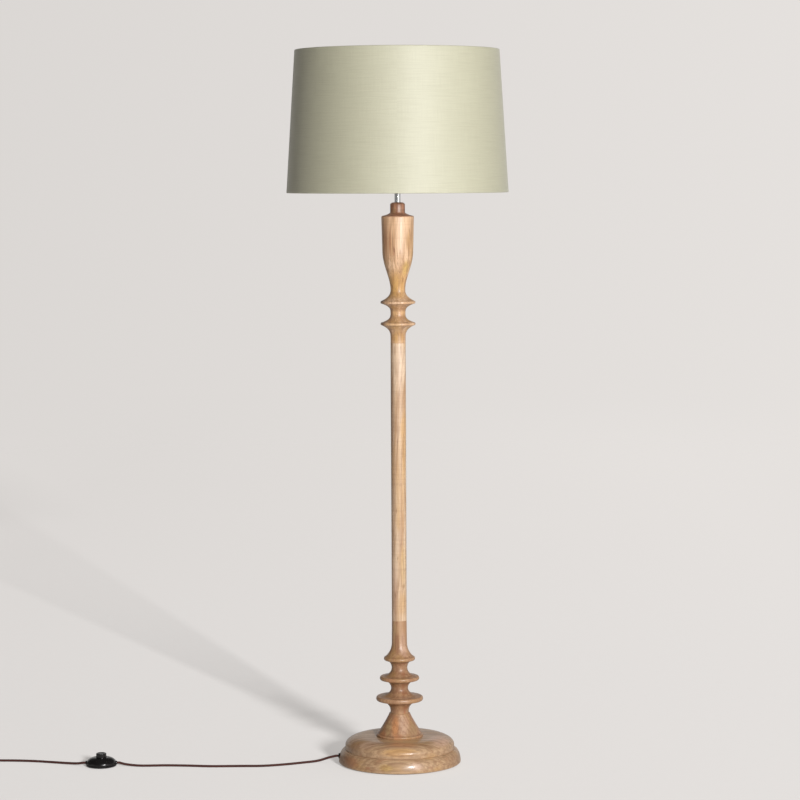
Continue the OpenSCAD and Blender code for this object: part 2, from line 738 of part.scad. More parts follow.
module holder_body() {
    top = holder_body_z + holder_body_h;
    color(BLACK) rotate_extrude() polygon([
        [core_r + SEAT_GAP, holder_body_z], [holder_r, holder_body_z], [holder_r, seat_z - flange_t],
        [flange_r, seat_z - flange_t], [flange_r, seat_z], [holder_r, seat_z], [holder_r, top - 1],
        [holder_r - 1, top], [mouth_r, top], [mouth_r, top - 3], [core_r + SEAT_GAP, top - 5]]);
}

module holder_core() {
    color(WHITE) difference() {
        translate([0, 0, core_ledge_z]) cylinder(r = core_r, h = core_h);
        for (side = [-1, 1]) translate([side * terminal_x, 0, core_ledge_z - 1])
            cylinder(r = terminal_r + GLUE_GAP / 2, h = terminal_l + 1);
    }
}

module holder_shell() {
    color(BRASS) translate([0, 0, core_top_z]) ring(shell_bore_r + shell_wall, shell_bore_r, shell_h);
}

module holder_contact() {
    color(BRASS) translate([0, 0, core_top_z]) cylinder(r = contact_r, h = contact_h);
}

terminal_x = 8.5;
terminal_r = 1.3;
terminal_l = 7;

module holder_terminals() {
    color(BRASS) for (side = [-1, 1]) translate([side * terminal_x, 0, core_ledge_z])
        pan_screw(2.6, 1.5, terminal_r, terminal_l);
}

module clamp_ring() {
    notch_r = 1;
    color(BLACK) translate([0, 0, seat_z + fitter_t]) difference() {
        ring(clamp_r, holder_r + RUN_GAP, clamp_h);
        around(clamp_notches, clamp_r + notch_r * 0.4) translate([0, 0, -1])
            cylinder(r = notch_r, h = clamp_h + 2, $fn = 16);
    }
}

// ---------- bulb ----------

module bulb_tip() {
    color(STEEL) translate([0, 0, bulb_z]) cylinder(r1 = tip_r - 1.4, r2 = tip_r, h = tip_h);
}

module bulb_insulator() {
    color(BLACK) translate([0, 0, bulb_z + tip_h])
        cylinder(r1 = tip_r + 1, r2 = bulb_cap_r - 1.4, h = insulator_h);
}

module bulb_cap() {
    color(STEEL) translate([0, 0, bulb_cap_z]) difference() {
        cylinder(r = bulb_cap_r, h = bulb_cap_h);
        translate([0, 0, 1]) cylinder(r = bulb_cap_r - 0.5, h = bulb_cap_h);
    }
}

// Outline of the glass at a distance t inside its outer face
function glass_outline(t) =
    let (neck = bulb_cap_r - 0.6 - t,
        join_a = -40,
        join = [(bulb_r - t) * cos(join_a), bulb_centre_z + (bulb_r - t) * sin(join_a)])
    concat([[neck, bulb_neck_z - 8], [neck, bulb_neck_z + 3]],
        [for (p = swell(neck, bulb_neck_z + 3, join[0], join[1])) if (p[1] > bulb_neck_z + 3) p],
        [for (p = arc(0, bulb_centre_z, bulb_r - t, bulb_r - t, join_a, 90, 18)) if (p[1] > join[1]) p]);

module bulb_glass() {
    outer = glass_outline(0);
    inner = glass_outline(glass_t);
    color([0.92, 0.94, 0.95, 0.4]) rotate_extrude()
        polygon(concat(outer, reversed([for (p = inner) [max(p[0], 0), p[1]]])));
}

stem_base_z = bulb_neck_z - 8;
filament_z = bulb_centre_z - 18;
filament_l = 34;
filament_ring_r = 7;

module bulb_stem() {
    color([0.9, 0.92, 0.93, 0.5]) rotate_extrude() polygon([[0, stem_base_z],
        [bulb_cap_r - 0.7 - glass_t, stem_base_z], [bulb_cap_r - 0.7 - glass_t, stem_base_z + 2],
        [3, stem_base_z + 12], [filament_ring_r + 1, filament_z - 2], [filament_ring_r + 1, filament_z],
        [1.2, filament_z], [1.2, filament_z + filament_l], [0, filament_z + filament_l]]);
}

module bulb_filament() {
    color([0.95, 0.80, 0.40]) translate([0, 0, filament_z]) around(4, filament_ring_r - 1)
        cylinder(r = 0.8, h = filament_l - 2, $fn = 24);
}

// ---------- shade ----------

// Outer radius of the shade at height z
function shade_r_at(z) = shade_r + (shade_top_r - shade_r) * (z - shade_z) / shade_h;

// A strip of the shade's wall between heights z0 and z1, depths d0 and d1
function wall_strip(z0, z1, d0, d1) =
    [[shade_r_at(z0) - d0, z0], [shade_r_at(z1) - d0, z1], [shade_r_at(z1) - d1, z1], [shade_r_at(z0) - d1, z0]];

skin_t = fabric_t + GLUE_GAP + liner_t;
low_wire_z = shade_z + fabric_t + wire_r;
top_wire_z = shade_top_z - fabric_t - wire_r;
low_wire_r = shade_r_at(low_wire_z) - skin_t - wire_r - SEAT_GAP;
top_wire_r = shade_r_at(top_wire_z + wire_r) - skin_t - wire_r - SEAT_GAP;

module wire_ring(radius, z) {
    translate([0, 0, z]) rotate_extrude() translate([radius, 0]) circle(r = wire_r, $fn = 32);
}

module shade_fitter() {
    color(WHITE) translate([0, 0, seat_z]) ring(fitter_r, fitter_hole_r, fitter_t);
}

// Arms welded between the fitter ring's rim and the lower wire ring
module shade_arms() {
    arm_start = [fitter_r, seat_z + fitter_t / 2];
    arm_run = [low_wire_r - wire_r, low_wire_z] - arm_start;
    color(WHITE) for (i = [0:arm_count - 1]) rotate([0, 0, 90 + 360 * i / arm_count])
        translate([arm_start[0], 0, arm_start[1]]) rotate([0, 90 - atan2(arm_run[1], arm_run[0]), 0])
            cylinder(r = wire_r, h = norm(arm_run), $fn = 32);
}

module shade_low_ring() {
    color(WHITE) wire_ring(low_wire_r, low_wire_z);
}

module shade_top_ring() {
    color(WHITE) wire_ring(top_wire_r, top_wire_z);
}

module shade_liner() {
    color([0.93, 0.91, 0.84]) rotate_extrude()
        polygon(wall_strip(shade_z + fabric_t + GLUE_GAP, shade_top_z - fabric_t - GLUE_GAP,
            fabric_t + GLUE_GAP, skin_t));
}

module shade_fabric() {
    color([0.76, 0.75, 0.60]) rotate_extrude() union() {
        polygon(wall_strip(shade_z, shade_top_z, 0, fabric_t));
        polygon(wall_strip(shade_z, shade_z + fabric_t, 0, hem_w));
        polygon(wall_strip(shade_top_z - fabric_t, shade_top_z, 0, hem_w));
    }
}

// ---------- foot switch ----------

switch_place = [-switch_x, -switch_y, 0];
post_y = 21;
post_r = 3.4;

module switch_pad() {
    color(BLACK) translate(switch_place) difference() {
        cylinder(r = switch_r - 4, h = switch_pad_t);
        for (side = [-1, 1]) translate([0, side * post_y, -1]) cylinder(r = post_r, h = switch_pad_t + 2);
    }
}

module switch_base() {
    color(BLACK) translate(switch_place) difference() {
        union() {
            translate([0, 0, base_plate_z]) cylinder(r = switch_r - switch_wall - 0.2, h = switch_base_t);
            translate([0, 0, base_plate_z]) cylinder(r = spring_r - 1.2, h = switch_base_t + 4);
        }
        for (side = [-1, 1]) translate([0, side * post_y, base_plate_z]) {
            translate([0, 0, -1]) cylinder(r = 2.7, h = 2.2);
            translate([0, 0, -1]) cylinder(r = 1.5, h = switch_base_t + 2);
        }
    }
}

// Dome of the cover, shrunk by the wall w
function dome_outline(w) =
    concat([[0, skirt_gap - (w > 0 ? 1 : 0)], [switch_r - w, skirt_gap - (w > 0 ? 1 : 0)]],
        arc(crown_r, skirt_top_z, switch_r - crown_r - w, switch_h - skirt_top_z - w, 0, 90, 14),
        [[0, switch_h - w]]);

module switch_cover() {
    color(BLACK) translate(switch_place) difference() {
        union() {
            difference() {
                union() {
                    rotate_extrude() polygon(dome_outline(0));
                    for (side = [-1, 1]) rotate([0, side * 90, 0]) translate([-side * switch_flex_z, 0, 0])
                        cylinder(r = boss_r, h = boss_x);
                }
                rotate_extrude() polygon(dome_outline(switch_wall));
            }
            intersection() {
                rotate_extrude() polygon(dome_outline(0.5));
                for (side = [-1, 1]) translate([0, side * post_y, base_plate_top_z])
                    cylinder(r = post_r, h = switch_h);
            }
        }
        translate([0, 0, skirt_top_z]) cylinder(r = button_r + RUN_GAP, h = switch_h);
        translate([-boss_x - 1, 0, switch_flex_z]) rotate([0, 90, 0])
            cylinder(r = flex_r + GLUE_GAP / 2, h = 2 * boss_x + 2);
        for (side = [-1, 1]) translate([0, side * post_y, base_plate_top_z - 1])
            cylinder(r = case_screw_r + GLUE_GAP / 2, h = case_screw_grip + 1.5);
    }
}

button_top_z = switch_h + button_rise;
button_flange_z = switch_h - switch_wall - SEAT_GAP;
button_flange_t = 1.8;
button_wall = 1.6;
spring_r = 5;
spring_wire = 0.8;
spring_curls = 6;
spring_z = base_plate_top_z;
spring_top_z = button_top_z - button_wall - 0.4;
case_screw_r = 1.2;
case_screw_grip = 6;

module switch_button() {
    color(BLACK) translate(switch_place) rotate_extrude() polygon(concat(
        [[button_r - button_wall, button_flange_z - button_flange_t],
            [crown_r + 0.2, button_flange_z - button_flange_t], [crown_r + 0.2, button_flange_z],
            [button_r, button_flange_z]],
        arc(button_r - 2.2, button_top_z - 2.2, 2.2, 2.2, 0, 90, 6),
        [[0, button_top_z], [0, button_top_z - button_wall],
            [button_r - button_wall, button_top_z - button_wall]]));
}

spring_points = [for (i = [0:spring_curls * 10])
    let (a = 36 * i, rise = (spring_top_z - spring_z - spring_wire) * i / spring_curls / 10)
    [-switch_x + (spring_r - spring_wire / 2) * cos(a), -switch_y + (spring_r - spring_wire / 2) * sin(a),
        spring_z + spring_wire / 2 + rise]];

module switch_spring() {
    color(STEEL) tube_along(spring_points, spring_wire / 2, 6);
}

contact_y = 10;
contact_l = 30;
contact_w = 5;
contact_t = 0.8;

module switch_contacts() {
    color(BRASS) translate(switch_place) for (side = [-1, 1])
        translate([-contact_l / 2, side * contact_y - contact_w / 2, base_plate_top_z])
            cube([contact_l, contact_w, contact_t]);
}

module switch_terminals() {
    color(BRASS) translate(switch_place) for (x = [-1, 1], y = [-1, 1])
        translate([x * (contact_l / 2 - 3), y * contact_y, base_plate_top_z + contact_t])
            cylinder(r = 1.8, h = 1.6);
}

module switch_screws() {
    head_h = 1.1;
    color(STEEL) translate(switch_place) for (side = [-1, 1])
        translate([0, side * post_y, base_plate_z + head_h + 0.1])
            pan_screw(2.5, head_h, case_screw_r, switch_base_t + case_screw_grip - head_h);
}

lead_end_x = 14;

module switch_leads() {
    color(FLEX) translate(switch_place) for (side = [-1, 1])
        translate([side > 0 ? lead_end_x : -boss_x, 0, switch_flex_z]) rotate([0, 90, 0])
            cylinder(r = flex_r, h = boss_x - lead_end_x);
}

// ---------- free flex and plug ----------

// Keeps a tube's middle at least its own radius above the floor
function on_floor(points) = [for (p = points) [p[0], p[1], max(p[2], flex_r)]];

module flex_to_switch() {
    start = [-bush_x, 0, exit_z];
    finish = switch_place + [boss_x, 0, switch_flex_z];
    hand = concat([start - [flex_d, 0, 0]], route_to_switch, [finish + [flex_d, 0, 0]]);
    color(FLEX) tube_along(on_floor(concat([start], smooth(hand, 4), [finish])), flex_r, 8);
}

module flex_to_coil() {
    start = switch_place + [-boss_x, 0, switch_flex_z];
    hand = concat([start - [flex_d, 0, 0]], route_to_coil, [coil_first + [2 * flex_d, 0, 0]]);
    color(FLEX) tube_along(on_floor(concat([start], smooth(hand, 4), [coil_first])), flex_r, 8);
}

module flex_coil() {
    color(FLEX) tube_along(coil_points, flex_r, 6);
}

// The strap goes round the turns where they lie straight above each other, at TIE_TURN
TIE_TURN = coil_turns / 2 % 1 + 0.5;
tie_turns = floor(coil_turns / 2);
tie_outer_r = coil_r - coil_pitch * TIE_TURN + flex_r + 0.3;
tie_inner_r = coil_r - coil_pitch * (TIE_TURN + tie_turns - 1) - flex_r - 0.5;

module rounded_box(x0, x1, y0, y1, corner_r) {
    hull() for (x = [x0 + corner_r, x1 - corner_r], y = [y0 + corner_r, y1 - corner_r])
        translate([x, y]) circle(r = corner_r, $fn = 48);
}

module coil_tie() {
    top = coil_z + coil_pitch + flex_r + GLUE_GAP;
    color(BLACK) translate([-coil_x, coil_centre_y, 0]) rotate([0, 0, -90 - 360 * TIE_TURN])
        rotate([90, 0, 0]) translate([0, 0, -tie_w / 2]) linear_extrude(height = tie_w) difference() {
            rounded_box(tie_inner_r - tie_t, tie_outer_r + tie_t, 0, top + tie_t, 1 + tie_t);
            rounded_box(tie_inner_r, tie_outer_r, tie_t, top, 1);
        }
}

module flex_to_plug() {
    drop = coil_last[2] - plug_z;
    color(FLEX) tube_along(concat([coil_last],
        [for (i = [1:5]) coil_last + [0, (plug_lead_l - flex_d) * i / 6, -drop * (1 - cos(30 * i)) / 2]],
        [[-plug_x, relief_y, plug_z]]), flex_r, 8);
}

module plug_relief() {
    color(BLACK) translate([-plug_x, plug_y, plug_z]) rotate([90, 0, 0]) {
        cylinder(r1 = 5.6, r2 = 3.6, h = relief_l);
    }
}

module plug_body() {
    corner_r = 6;
    color(BLACK) translate([-plug_x, plug_y, 0]) linear_extrude(height = plug_t) hull() {
        for (side = [-1, 1]) {
            translate([side * (plug_w / 2 - corner_r), plug_l - corner_r]) circle(r = corner_r);
            translate([side * (plug_w / 4 - corner_r / 2), corner_r / 2]) circle(r = corner_r / 2);
        }
    }
}

module plug_pins() {
    color(BRASS) for (side = [-1, 1]) translate([-plug_x + side * pin_gap / 2, plug_y + plug_l, plug_z])
        rotate([-90, 0, 0]) cylinder(r = pin_r, h = pin_l);
}

base_felt();
base_plinth();
base_upper_disc();
base_weight();
weight_screws();
base_screws();
foot_cone();
lower_turning();
pole();
upper_turning();
cup_cap();
threaded_tube();
base_washer();
base_nut();
cup_washer();
cup_nut();
stem_sleeve();
cord_grommet();
cord_clip();
clip_screws();
inner_flex();
holder_cap();
holder_body();
holder_core();
holder_shell();
holder_contact();
holder_terminals();
clamp_ring();
bulb_tip();
bulb_insulator();
bulb_cap();
bulb_glass();
bulb_stem();
bulb_filament();
shade_fitter();
shade_arms();
shade_low_ring();
shade_top_ring();
shade_liner();
shade_fabric();
switch_pad();
switch_base();
switch_cover();
switch_button();
switch_spring();
switch_contacts();
switch_terminals();
switch_screws();
switch_leads();
flex_to_switch();
flex_to_coil();
flex_coil();
coil_tie();
flex_to_plug();
plug_relief();
plug_body();
plug_pins();
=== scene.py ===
# %% [markdown]
# # Candlestick floor lamp
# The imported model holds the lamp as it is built: a turned column on a two-tier foot, a drum shade
# on a lampholder, and a flex with a foot switch. This script gives every piece that shows its
# finish, and remakes the pieces whose looks need more than the plain solids have. Everything is
# in metres, in the same frame as the solids: the origin is on the floor under the column, +Z is
# up, and the photograph looks along +Y.

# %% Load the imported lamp
import math

import bpy
from mathutils import Matrix, Vector


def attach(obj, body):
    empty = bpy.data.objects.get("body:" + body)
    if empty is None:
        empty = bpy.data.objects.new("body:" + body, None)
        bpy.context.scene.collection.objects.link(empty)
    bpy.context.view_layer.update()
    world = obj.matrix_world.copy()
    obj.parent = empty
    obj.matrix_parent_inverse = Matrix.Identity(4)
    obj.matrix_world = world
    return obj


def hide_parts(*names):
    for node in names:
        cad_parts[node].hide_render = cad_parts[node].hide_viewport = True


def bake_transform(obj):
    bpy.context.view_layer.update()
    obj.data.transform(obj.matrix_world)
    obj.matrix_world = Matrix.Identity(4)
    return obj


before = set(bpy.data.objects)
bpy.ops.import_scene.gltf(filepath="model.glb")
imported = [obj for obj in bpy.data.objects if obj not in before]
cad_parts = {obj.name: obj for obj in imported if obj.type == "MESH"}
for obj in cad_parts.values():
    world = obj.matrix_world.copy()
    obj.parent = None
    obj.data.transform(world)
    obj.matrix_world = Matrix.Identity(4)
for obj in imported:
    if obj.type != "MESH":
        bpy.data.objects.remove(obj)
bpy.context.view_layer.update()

bpy.ops.object.select_all(action="DESELECT")
print("solids loaded:", len(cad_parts))

# %% [markdown]
# ## Camera
# The photograph is taken from 5.6 m in front of the column with a long lens, a little above the
# cup of the column, and looks down by 4.8 degrees. It is square, so the focal length in pixels
# gives the lens for a 36 mm sensor. The lamp leans a few pixels to the left in the picture, which
# is a roll of the camera about its own axis, not a lean of the lamp.

# %% Camera
PICTURE_PX = 800
FOCAL_PX = 2700
SENSOR_MM = 36
camera_data = bpy.data.cameras.new("view_camera")
camera_data.sensor_width = SENSOR_MM
camera_data.lens = FOCAL_PX * SENSOR_MM / PICTURE_PX
camera = bpy.data.objects.new("view_camera", camera_data)
bpy.context.collection.objects.link(camera)
camera.matrix_world = (
    Matrix.Translation((0.0034, -5.6084, 1.2396))
    @ Matrix.Rotation(math.radians(90 - 4.827), 4, "X")
    @ Matrix.Rotation(math.radians(-0.237), 4, "Z")
)
bpy.context.scene.camera = camera
bpy.context.scene.view_settings.view_transform = "Standard"
print("lens", round(camera_data.lens, 1), "mm")

# %% [markdown]
# ## Flex
# The flex is a round mains cord, 5 mm thick over its textile braid. It leaves the foot through a
# bush, runs along the floor to the foot switch, and on to a coil that is held by a strap, with
# the plug beside it. The picture ends a little past the switch, so the coil lies outside it.
# A tube is swept along the route point by point, because the braid's pattern needs to know how
# far along the cord and how far round it each point is. A curve object has no such map of its own.

# %% Route of the flex
FLEX_R = 0.0025
SWITCH = Vector((-0.6265, -0.026, 0))
BUSH_FACE = Vector((-0.1292, 0, 0.014))
BOSS_X = 0.033
SWITCH_FLEX_Z = 0.007
COIL_CENTRE = Vector((-0.910, 0.0565, 0))
COIL_R = 0.0385
COIL_PITCH = 0.0056
COIL_TURNS = 6.25
COIL_Z = 0.0033
RELIEF_START = Vector((-0.9485, 0.1015, 0.00685))

ROUTE_TO_SWITCH = [
    (-0.151, 0, 0.010), (-0.169, -0.001, 0.0046), (-0.192, -0.007, 0.0025), (-0.236, -0.027, 0.0025),
    (-0.285, -0.042, 0.0025), (-0.335, -0.043, 0.0025), (-0.395, -0.044, 0.0025),
    (-0.440, -0.038, 0.0025), (-0.490, -0.034, 0.0025), (-0.540, -0.036, 0.0025), (-0.572, -0.030, 0.004),
]
ROUTE_TO_COIL = [
    (-0.684, -0.018, 0.004), (-0.735, 0.002, 0.0025), (-0.785, 0.015, 0.0025), (-0.845, 0.020, 0.0025),
]


def smooth(hand, steps=4):
    """Even curve through the given points, never lower than the floor allows."""
    points = []
    last = len(hand) - 1
    for i in range(last):
        a, b, c, d = (Vector(hand[j]) for j in (max(i - 1, 0), i, i + 1, min(i + 2, last)))
        for t in (k / steps for k in range(steps)):
            points.append(0.5 * (2 * b + (c - a) * t + (2 * a - 5 * b + 4 * c - d) * t**2
                                 + (3 * b - 3 * c + d - a) * t**3))
    points.append(Vector(hand[-1]))
    for point in points:
        point.z = max(point.z, FLEX_R)
    return points


def coil_point(turn):
    """A point of the coil: it winds in on the floor and out again on top of itself."""
    radius = COIL_R - COIL_PITCH * min(turn, COIL_TURNS - turn)
    climb = min(max(turn - COIL_TURNS / 2 + 0.25, 0) / 0.5, 1)
    angle = math.radians(-90 - 360 * turn)
    offset = Vector((radius * math.cos(angle), radius * math.sin(angle), COIL_Z + COIL_PITCH * climb))
    return COIL_CENTRE + offset


switch_in = SWITCH + Vector((BOSS_X, 0, SWITCH_FLEX_Z))
switch_out = SWITCH + Vector((-BOSS_X, 0, SWITCH_FLEX_Z))
step_x = Vector((2 * FLEX_R, 0, 0))
hand = [BUSH_FACE - step_x, *ROUTE_TO_SWITCH, switch_in + step_x]
path_to_switch = [BUSH_FACE, *smooth(hand), switch_in]

coil_first = Vector((COIL_CENTRE.x + 2 * FLEX_R, 0.018, COIL_Z))
hand = [switch_out - step_x, *ROUTE_TO_COIL, coil_first + 2 * step_x]
coil_rings = int(COIL_TURNS * 24)
coil = [coil_point(i / 24) for i in range(coil_rings + 1)]
coil_last = coil[-1] + Vector((0, 2 * FLEX_R, 0))
LEAD_LENGTH = 0.035
lead_rise = RELIEF_START.z - coil_last.z
lead = [
    coil_last + Vector((0, LEAD_LENGTH * i / 6, lead_rise * (1 - math.cos(math.radians(30 * i))) / 2))
    for i in range(1, 6)
]
path_to_plug = [switch_out, *smooth(hand), coil_first, *coil, coil_last, *lead, RELIEF_START]


def path_length(points):
    return sum((b - a).length for a, b in zip(points, points[1:]))


length_to_switch, length_to_plug = path_length(path_to_switch), path_length(path_to_plug)
print("flex:", round(length_to_switch, 3), "m to the switch,", round(length_to_plug, 3), "m to the plug")

# %% Sweep the flex
FLEX_SIDES = 16


def sweep(name, points, radius, sides):
    """Closed tube along the points, with a map: metres along it, and turns round it."""
    count = len(points)
    side = Vector((0, 0, 1))
    verts, rings_at = [], [0.0]
    for a, b in zip(points, points[1:]):
        rings_at.append(rings_at[-1] + (b - a).length)
    for i, point in enumerate(points):
        heading = (points[min(i + 1, count - 1)] - points[max(i - 1, 0)]).normalized()
        side = (side - heading * side.dot(heading)).normalized()
        over = heading.cross(side)
        for k in range(sides):
            angle = 2 * math.pi * k / sides
            verts.append(point + radius * (math.cos(angle) * side + math.sin(angle) * over))
    faces, maps = [], []
    for i in range(count - 1):
        for k in range(sides):
            nxt = (k + 1) % sides
            faces.append((i * sides + k, i * sides + nxt, (i + 1) * sides + nxt, (i + 1) * sides + k))
            u0, u1, v0, v1 = rings_at[i], rings_at[i + 1], k / sides, (k + 1) / sides
            maps += [(u0, v0), (u0, v1), (u1, v1), (u1, v0)]
    first, last = tuple(reversed(range(sides))), tuple(range((count - 1) * sides, count * sides))
    faces += [first, last]
    maps += [(0, 0)] * sides + [(rings_at[-1], 0)] * sides
    mesh = bpy.data.meshes.new(name)
    mesh.from_pydata(verts, [], faces)
    uv = mesh.uv_layers.new(name="run")
    for loop, value in enumerate(maps):
        uv.data[loop].uv = value
    mesh.polygons.foreach_set("use_smooth", [True] * len(mesh.polygons))
    piece = bpy.data.objects.new(name, mesh)
    bpy.context.collection.objects.link(piece)
    return piece


flex_near = sweep("flex_to_foot_switch", smooth(path_to_switch, 3), FLEX_R, FLEX_SIDES)
flex_far = sweep("flex_to_wall_plug", smooth(path_to_plug, 3), FLEX_R, FLEX_SIDES)
print("rings:", len(flex_near.data.vertices) // FLEX_SIDES, len(flex_far.data.vertices) // FLEX_SIDES)

# %% [markdown]
# ## Words for the finishes
# A finish is a small graph of nodes. Two classes keep the recipes short. `Value` is one output of
# a node, and Python's own operators on it add Math nodes. `Finish` is a material in the making:
# `node` adds any node from its type, its settings and its sockets, and the other methods are the
# few recipes that nearly every surface of the lamp uses.

# %% Shader maths as Python
class Value:
    """One output of a shader node."""

    def __init__(self, finish, socket):
        self.finish, self.socket = finish, socket

    def math(self, operation, *sockets):
        return self.finish.node("Math", {"operation": operation}, dict(enumerate(sockets)))


OPERATORS = {"add": "ADD", "sub": "SUBTRACT", "mul": "MULTIPLY", "truediv": "DIVIDE", "pow": "POWER"}
for word, operation in OPERATORS.items():
    setattr(Value, f"__{word}__", lambda self, other, kind=operation: self.math(kind, self, other))
    setattr(Value, f"__r{word}__", lambda self, other, kind=operation: self.math(kind, other, self))


class Finish:
    """A material in the making, or the nodes of a world."""

    def __init__(self, name, holder=None):
        self.material = holder or bpy.data.materials.new(name)
        self.material.use_nodes = True
        self.tree = self.material.node_tree
        self.tree.nodes.clear()

    def node(self, kind, settings=None, sockets=None, out=0):
        made = self.tree.nodes.new("ShaderNode" + kind)
        for key, item in (settings or {}).items():
            setattr(made, key, item)
        for key, item in (sockets or {}).items():
            if isinstance(item, Value):
                self.tree.links.new(item.socket, made.inputs[key])
            else:
                made.inputs[key].default_value = item
        return Value(self, made.outputs[out])

    def place(self, scale=(1, 1, 1), shift=(0, 0, 0), turn=(0, 0, 0), source=None):
        source = source or self.node("TexCoord", out="Object")
        sockets = {"Vector": source, "Scale": scale, "Location": shift, "Rotation": turn}
        return self.node("Mapping", None, sockets)

    def noise(self, vector, detail=3, roughness=0.55, out="Fac"):
        sockets = {"Vector": vector, "Scale": 1, "Detail": detail, "Roughness": roughness}
        return self.node("TexNoise", None, sockets, out)

    def grain(self, size, detail=2, roughness=0.55):
        """Noise of the same size in all directions: spots to the metre."""
        return self.noise(self.place((size, size, size)), detail, roughness)

    def step(self, value, low, high, to_low=0, to_high=1):
        """A soft step of the value between two levels."""
        sockets = {"Value": value, "From Min": low, "From Max": high, "To Min": to_low, "To Max": to_high}
        return self.node("MapRange", {"interpolation_type": "SMOOTHSTEP"}, sockets)

    def mix(self, factor, first, second):
        return self.node("Mix", {"data_type": "RGBA"}, {0: factor, 6: first, 7: second}, 2)

    def tint(self, body, tone, value, low, high, share):
        """Tone a colour towards another one where the value passes a soft step."""
        return self.mix(self.step(value, low, high, 0, share), body, tone)

    def length(self, vector):
        return self.node("VectorMath", {"operation": "LENGTH"}, {0: vector}, "Value")

    def split(self, vector):
        """The three numbers of a vector."""
        parts = self.node("SeparateXYZ", None, {0: vector}).socket.node.outputs
        return [Value(self, part) for part in parts]

    def shader(self, colour, rough, height=None, depth=0.0002, **constants):
        """The closing Principled shader, with an optional relief of the given depth."""
        sockets = {"Base Color": colour, "Roughness": rough}
        if height is not None:
            bump = {"Height": height, "Distance": depth, "Strength": 1.0}
            sockets["Normal"] = self.node("Bump", None, bump)
        for name, item in constants.items():
            sockets[name.replace("_", " ")] = item
        surface = self.node("BsdfPrincipled", None, sockets)
        end = self.tree.nodes.new("ShaderNodeOutputMaterial")
        self.tree.links.new(surface.socket, end.inputs["Surface"])
        return self.material


def colour(red, green, blue):
    return (red, green, blue, 1)


# %% [markdown]
# ## Wood
# The column and the foot are turned from a pale hardwood with a satin oil finish. Its look has
# layers of very different size: honey and reddish patches as long as a hand, growth rings that
# the lathe cuts into long pointed arches, streaks a few millimetres wide, short dark pores, and
# fine fibres. All of it comes from one solid block of grain in Object coordinates, so the pattern
# runs through the discs and coves as it does in a real turned piece. The column's grain runs
# upwards, and the two tiers of the foot are cut from planks whose grain runs across the picture.
# Each piece came from its own block, so it gets its own finish with its own place in the grain and
# its own stains, and some patches of painted shade. Fine rings left by the lathe run round every
# piece, whatever its grain does. The hollows get a painted shade and the rims a painted highlight,
# from a value that is stored on the piece after it is turned.

# %% Wood finish
# The second colour is the painted shade in the hollows.
PORE, HOLLOW_SHADE = colour(0.10, 0.045, 0.022), colour(0.19, 0.085, 0.04)


def wood(name, tones, block, pith, ring, stains_and_shade=(), across=False, polish=(0.18, 0.27)):
    """Grain through a block: block shifts the noise, pith is the centre of the rings in metres.

    A stain, or a patch of painted shade, is its centre and its three half widths in millimetres, its colour
    and its strength.
    """
    pale, deep, gold, red, heart = tones
    f = Finish(name)
    turned = (0, math.pi / 2, 0) if across else (0, 0, 0)
    grain = f.place(turn=turned, shift=(-pith[0], -pith[1], 0))
    wander = f.noise(f.place((9, 9, 3.2), block, source=grain), 2, out="Color")
    wander = f.node("VectorMath", {"operation": "MULTIPLY_ADD"},
                    {0: wander, 1: (0.030, 0.030, 0), 2: (-0.015, -0.015, 0)})
    grain = f.node("VectorMath", {"operation": "ADD"}, {0: grain, 1: wander})
    from_pith = f.length(f.place((1, 1, 0.06), source=grain))

    def layer(wide, tall, detail=2, roughness=0.55, shift=block):
        return f.noise(f.place((wide, wide, tall), shift, source=grain), detail, roughness)

    patches, streaks, lines = layer(24, 7), layer(150, 5, 3, 0.6), layer(430, 9)
    reds, marks, fibres = layer(75, 4.5, 3, 0.6, [b + 7 for b in block]), layer(230, 40, 1), layer(1000, 45)
    phase = (from_pith / ring + streaks * 1.6) * (2 * math.pi)
    rings = f.step(phase.math("SINE", phase), 0.0, 1.0)
    cells = {"Vector": f.place((620, 620, 75), block, source=grain), "Scale": 1}
    pores = f.step(f.node("TexVoronoi", None, cells, "Distance"), 0.30, 0.12) * f.step(fibres, 0.45, 0.6)
    x, y, z = f.split(f.node("TexCoord", out="Object"))
    radius = (x * x + y * y) ** 0.5
    lathe = f.noise(f.node("CombineXYZ", None, {0: radius * 420, 1: z * 300}), 2)
    body = f.mix(f.step(streaks, 0.40, 0.62), pale, deep)
    body = f.tint(body, gold, patches, 0.50, 0.64, 0.75)
    body = f.tint(body, red, reds, 0.57, 0.72, 0.7)
    # Stains, and patches of painted shade, each toned in over a soft oval.
    for centre, halves, tone, strength in stains_and_shade:
        at = f.place([1000 / h for h in halves], [-c / h for c, h in zip(centre, halves)])
        body = f.tint(body, tone, f.length(at) + streaks * 0.9, 1.75, 0.85, strength)
    body = f.mix(rings * 0.32, body, heart)
    for value, low, high, share in (
        (lines, 0.56, 0.72, 0.55), (marks, 0.69, 0.77, 0.7),
        (fibres, 0.35, 0.7, 0.10), (lathe, 0.45, 0.70, 0.16),
    ):
        body = f.tint(body, heart, value, low, high, share)
    body = f.mix(pores * 0.45, body, PORE)
    # Painted shade darkens the hollows and a painted highlight pales the rims, from the stored relief value.
    relief_shading = f.node("Attribute", {"attribute_name": "relief_shading"}, out="Fac")
    body = f.tint(body, HOLLOW_SHADE, relief_shading, 0.47, 0.28, 0.48)
    body = f.tint(body, pale, relief_shading, 0.58, 0.80, 0.22)
    rough = 0.38 + streaks * 0.10 + pores * 0.2
    height = fibres * 0.5 - pores * 0.8 + streaks * 0.4 + lathe * 0.5
    return f.shader(body, rough, height, 0.00012, Coat_Weight=polish[0], Coat_Roughness=polish[1])


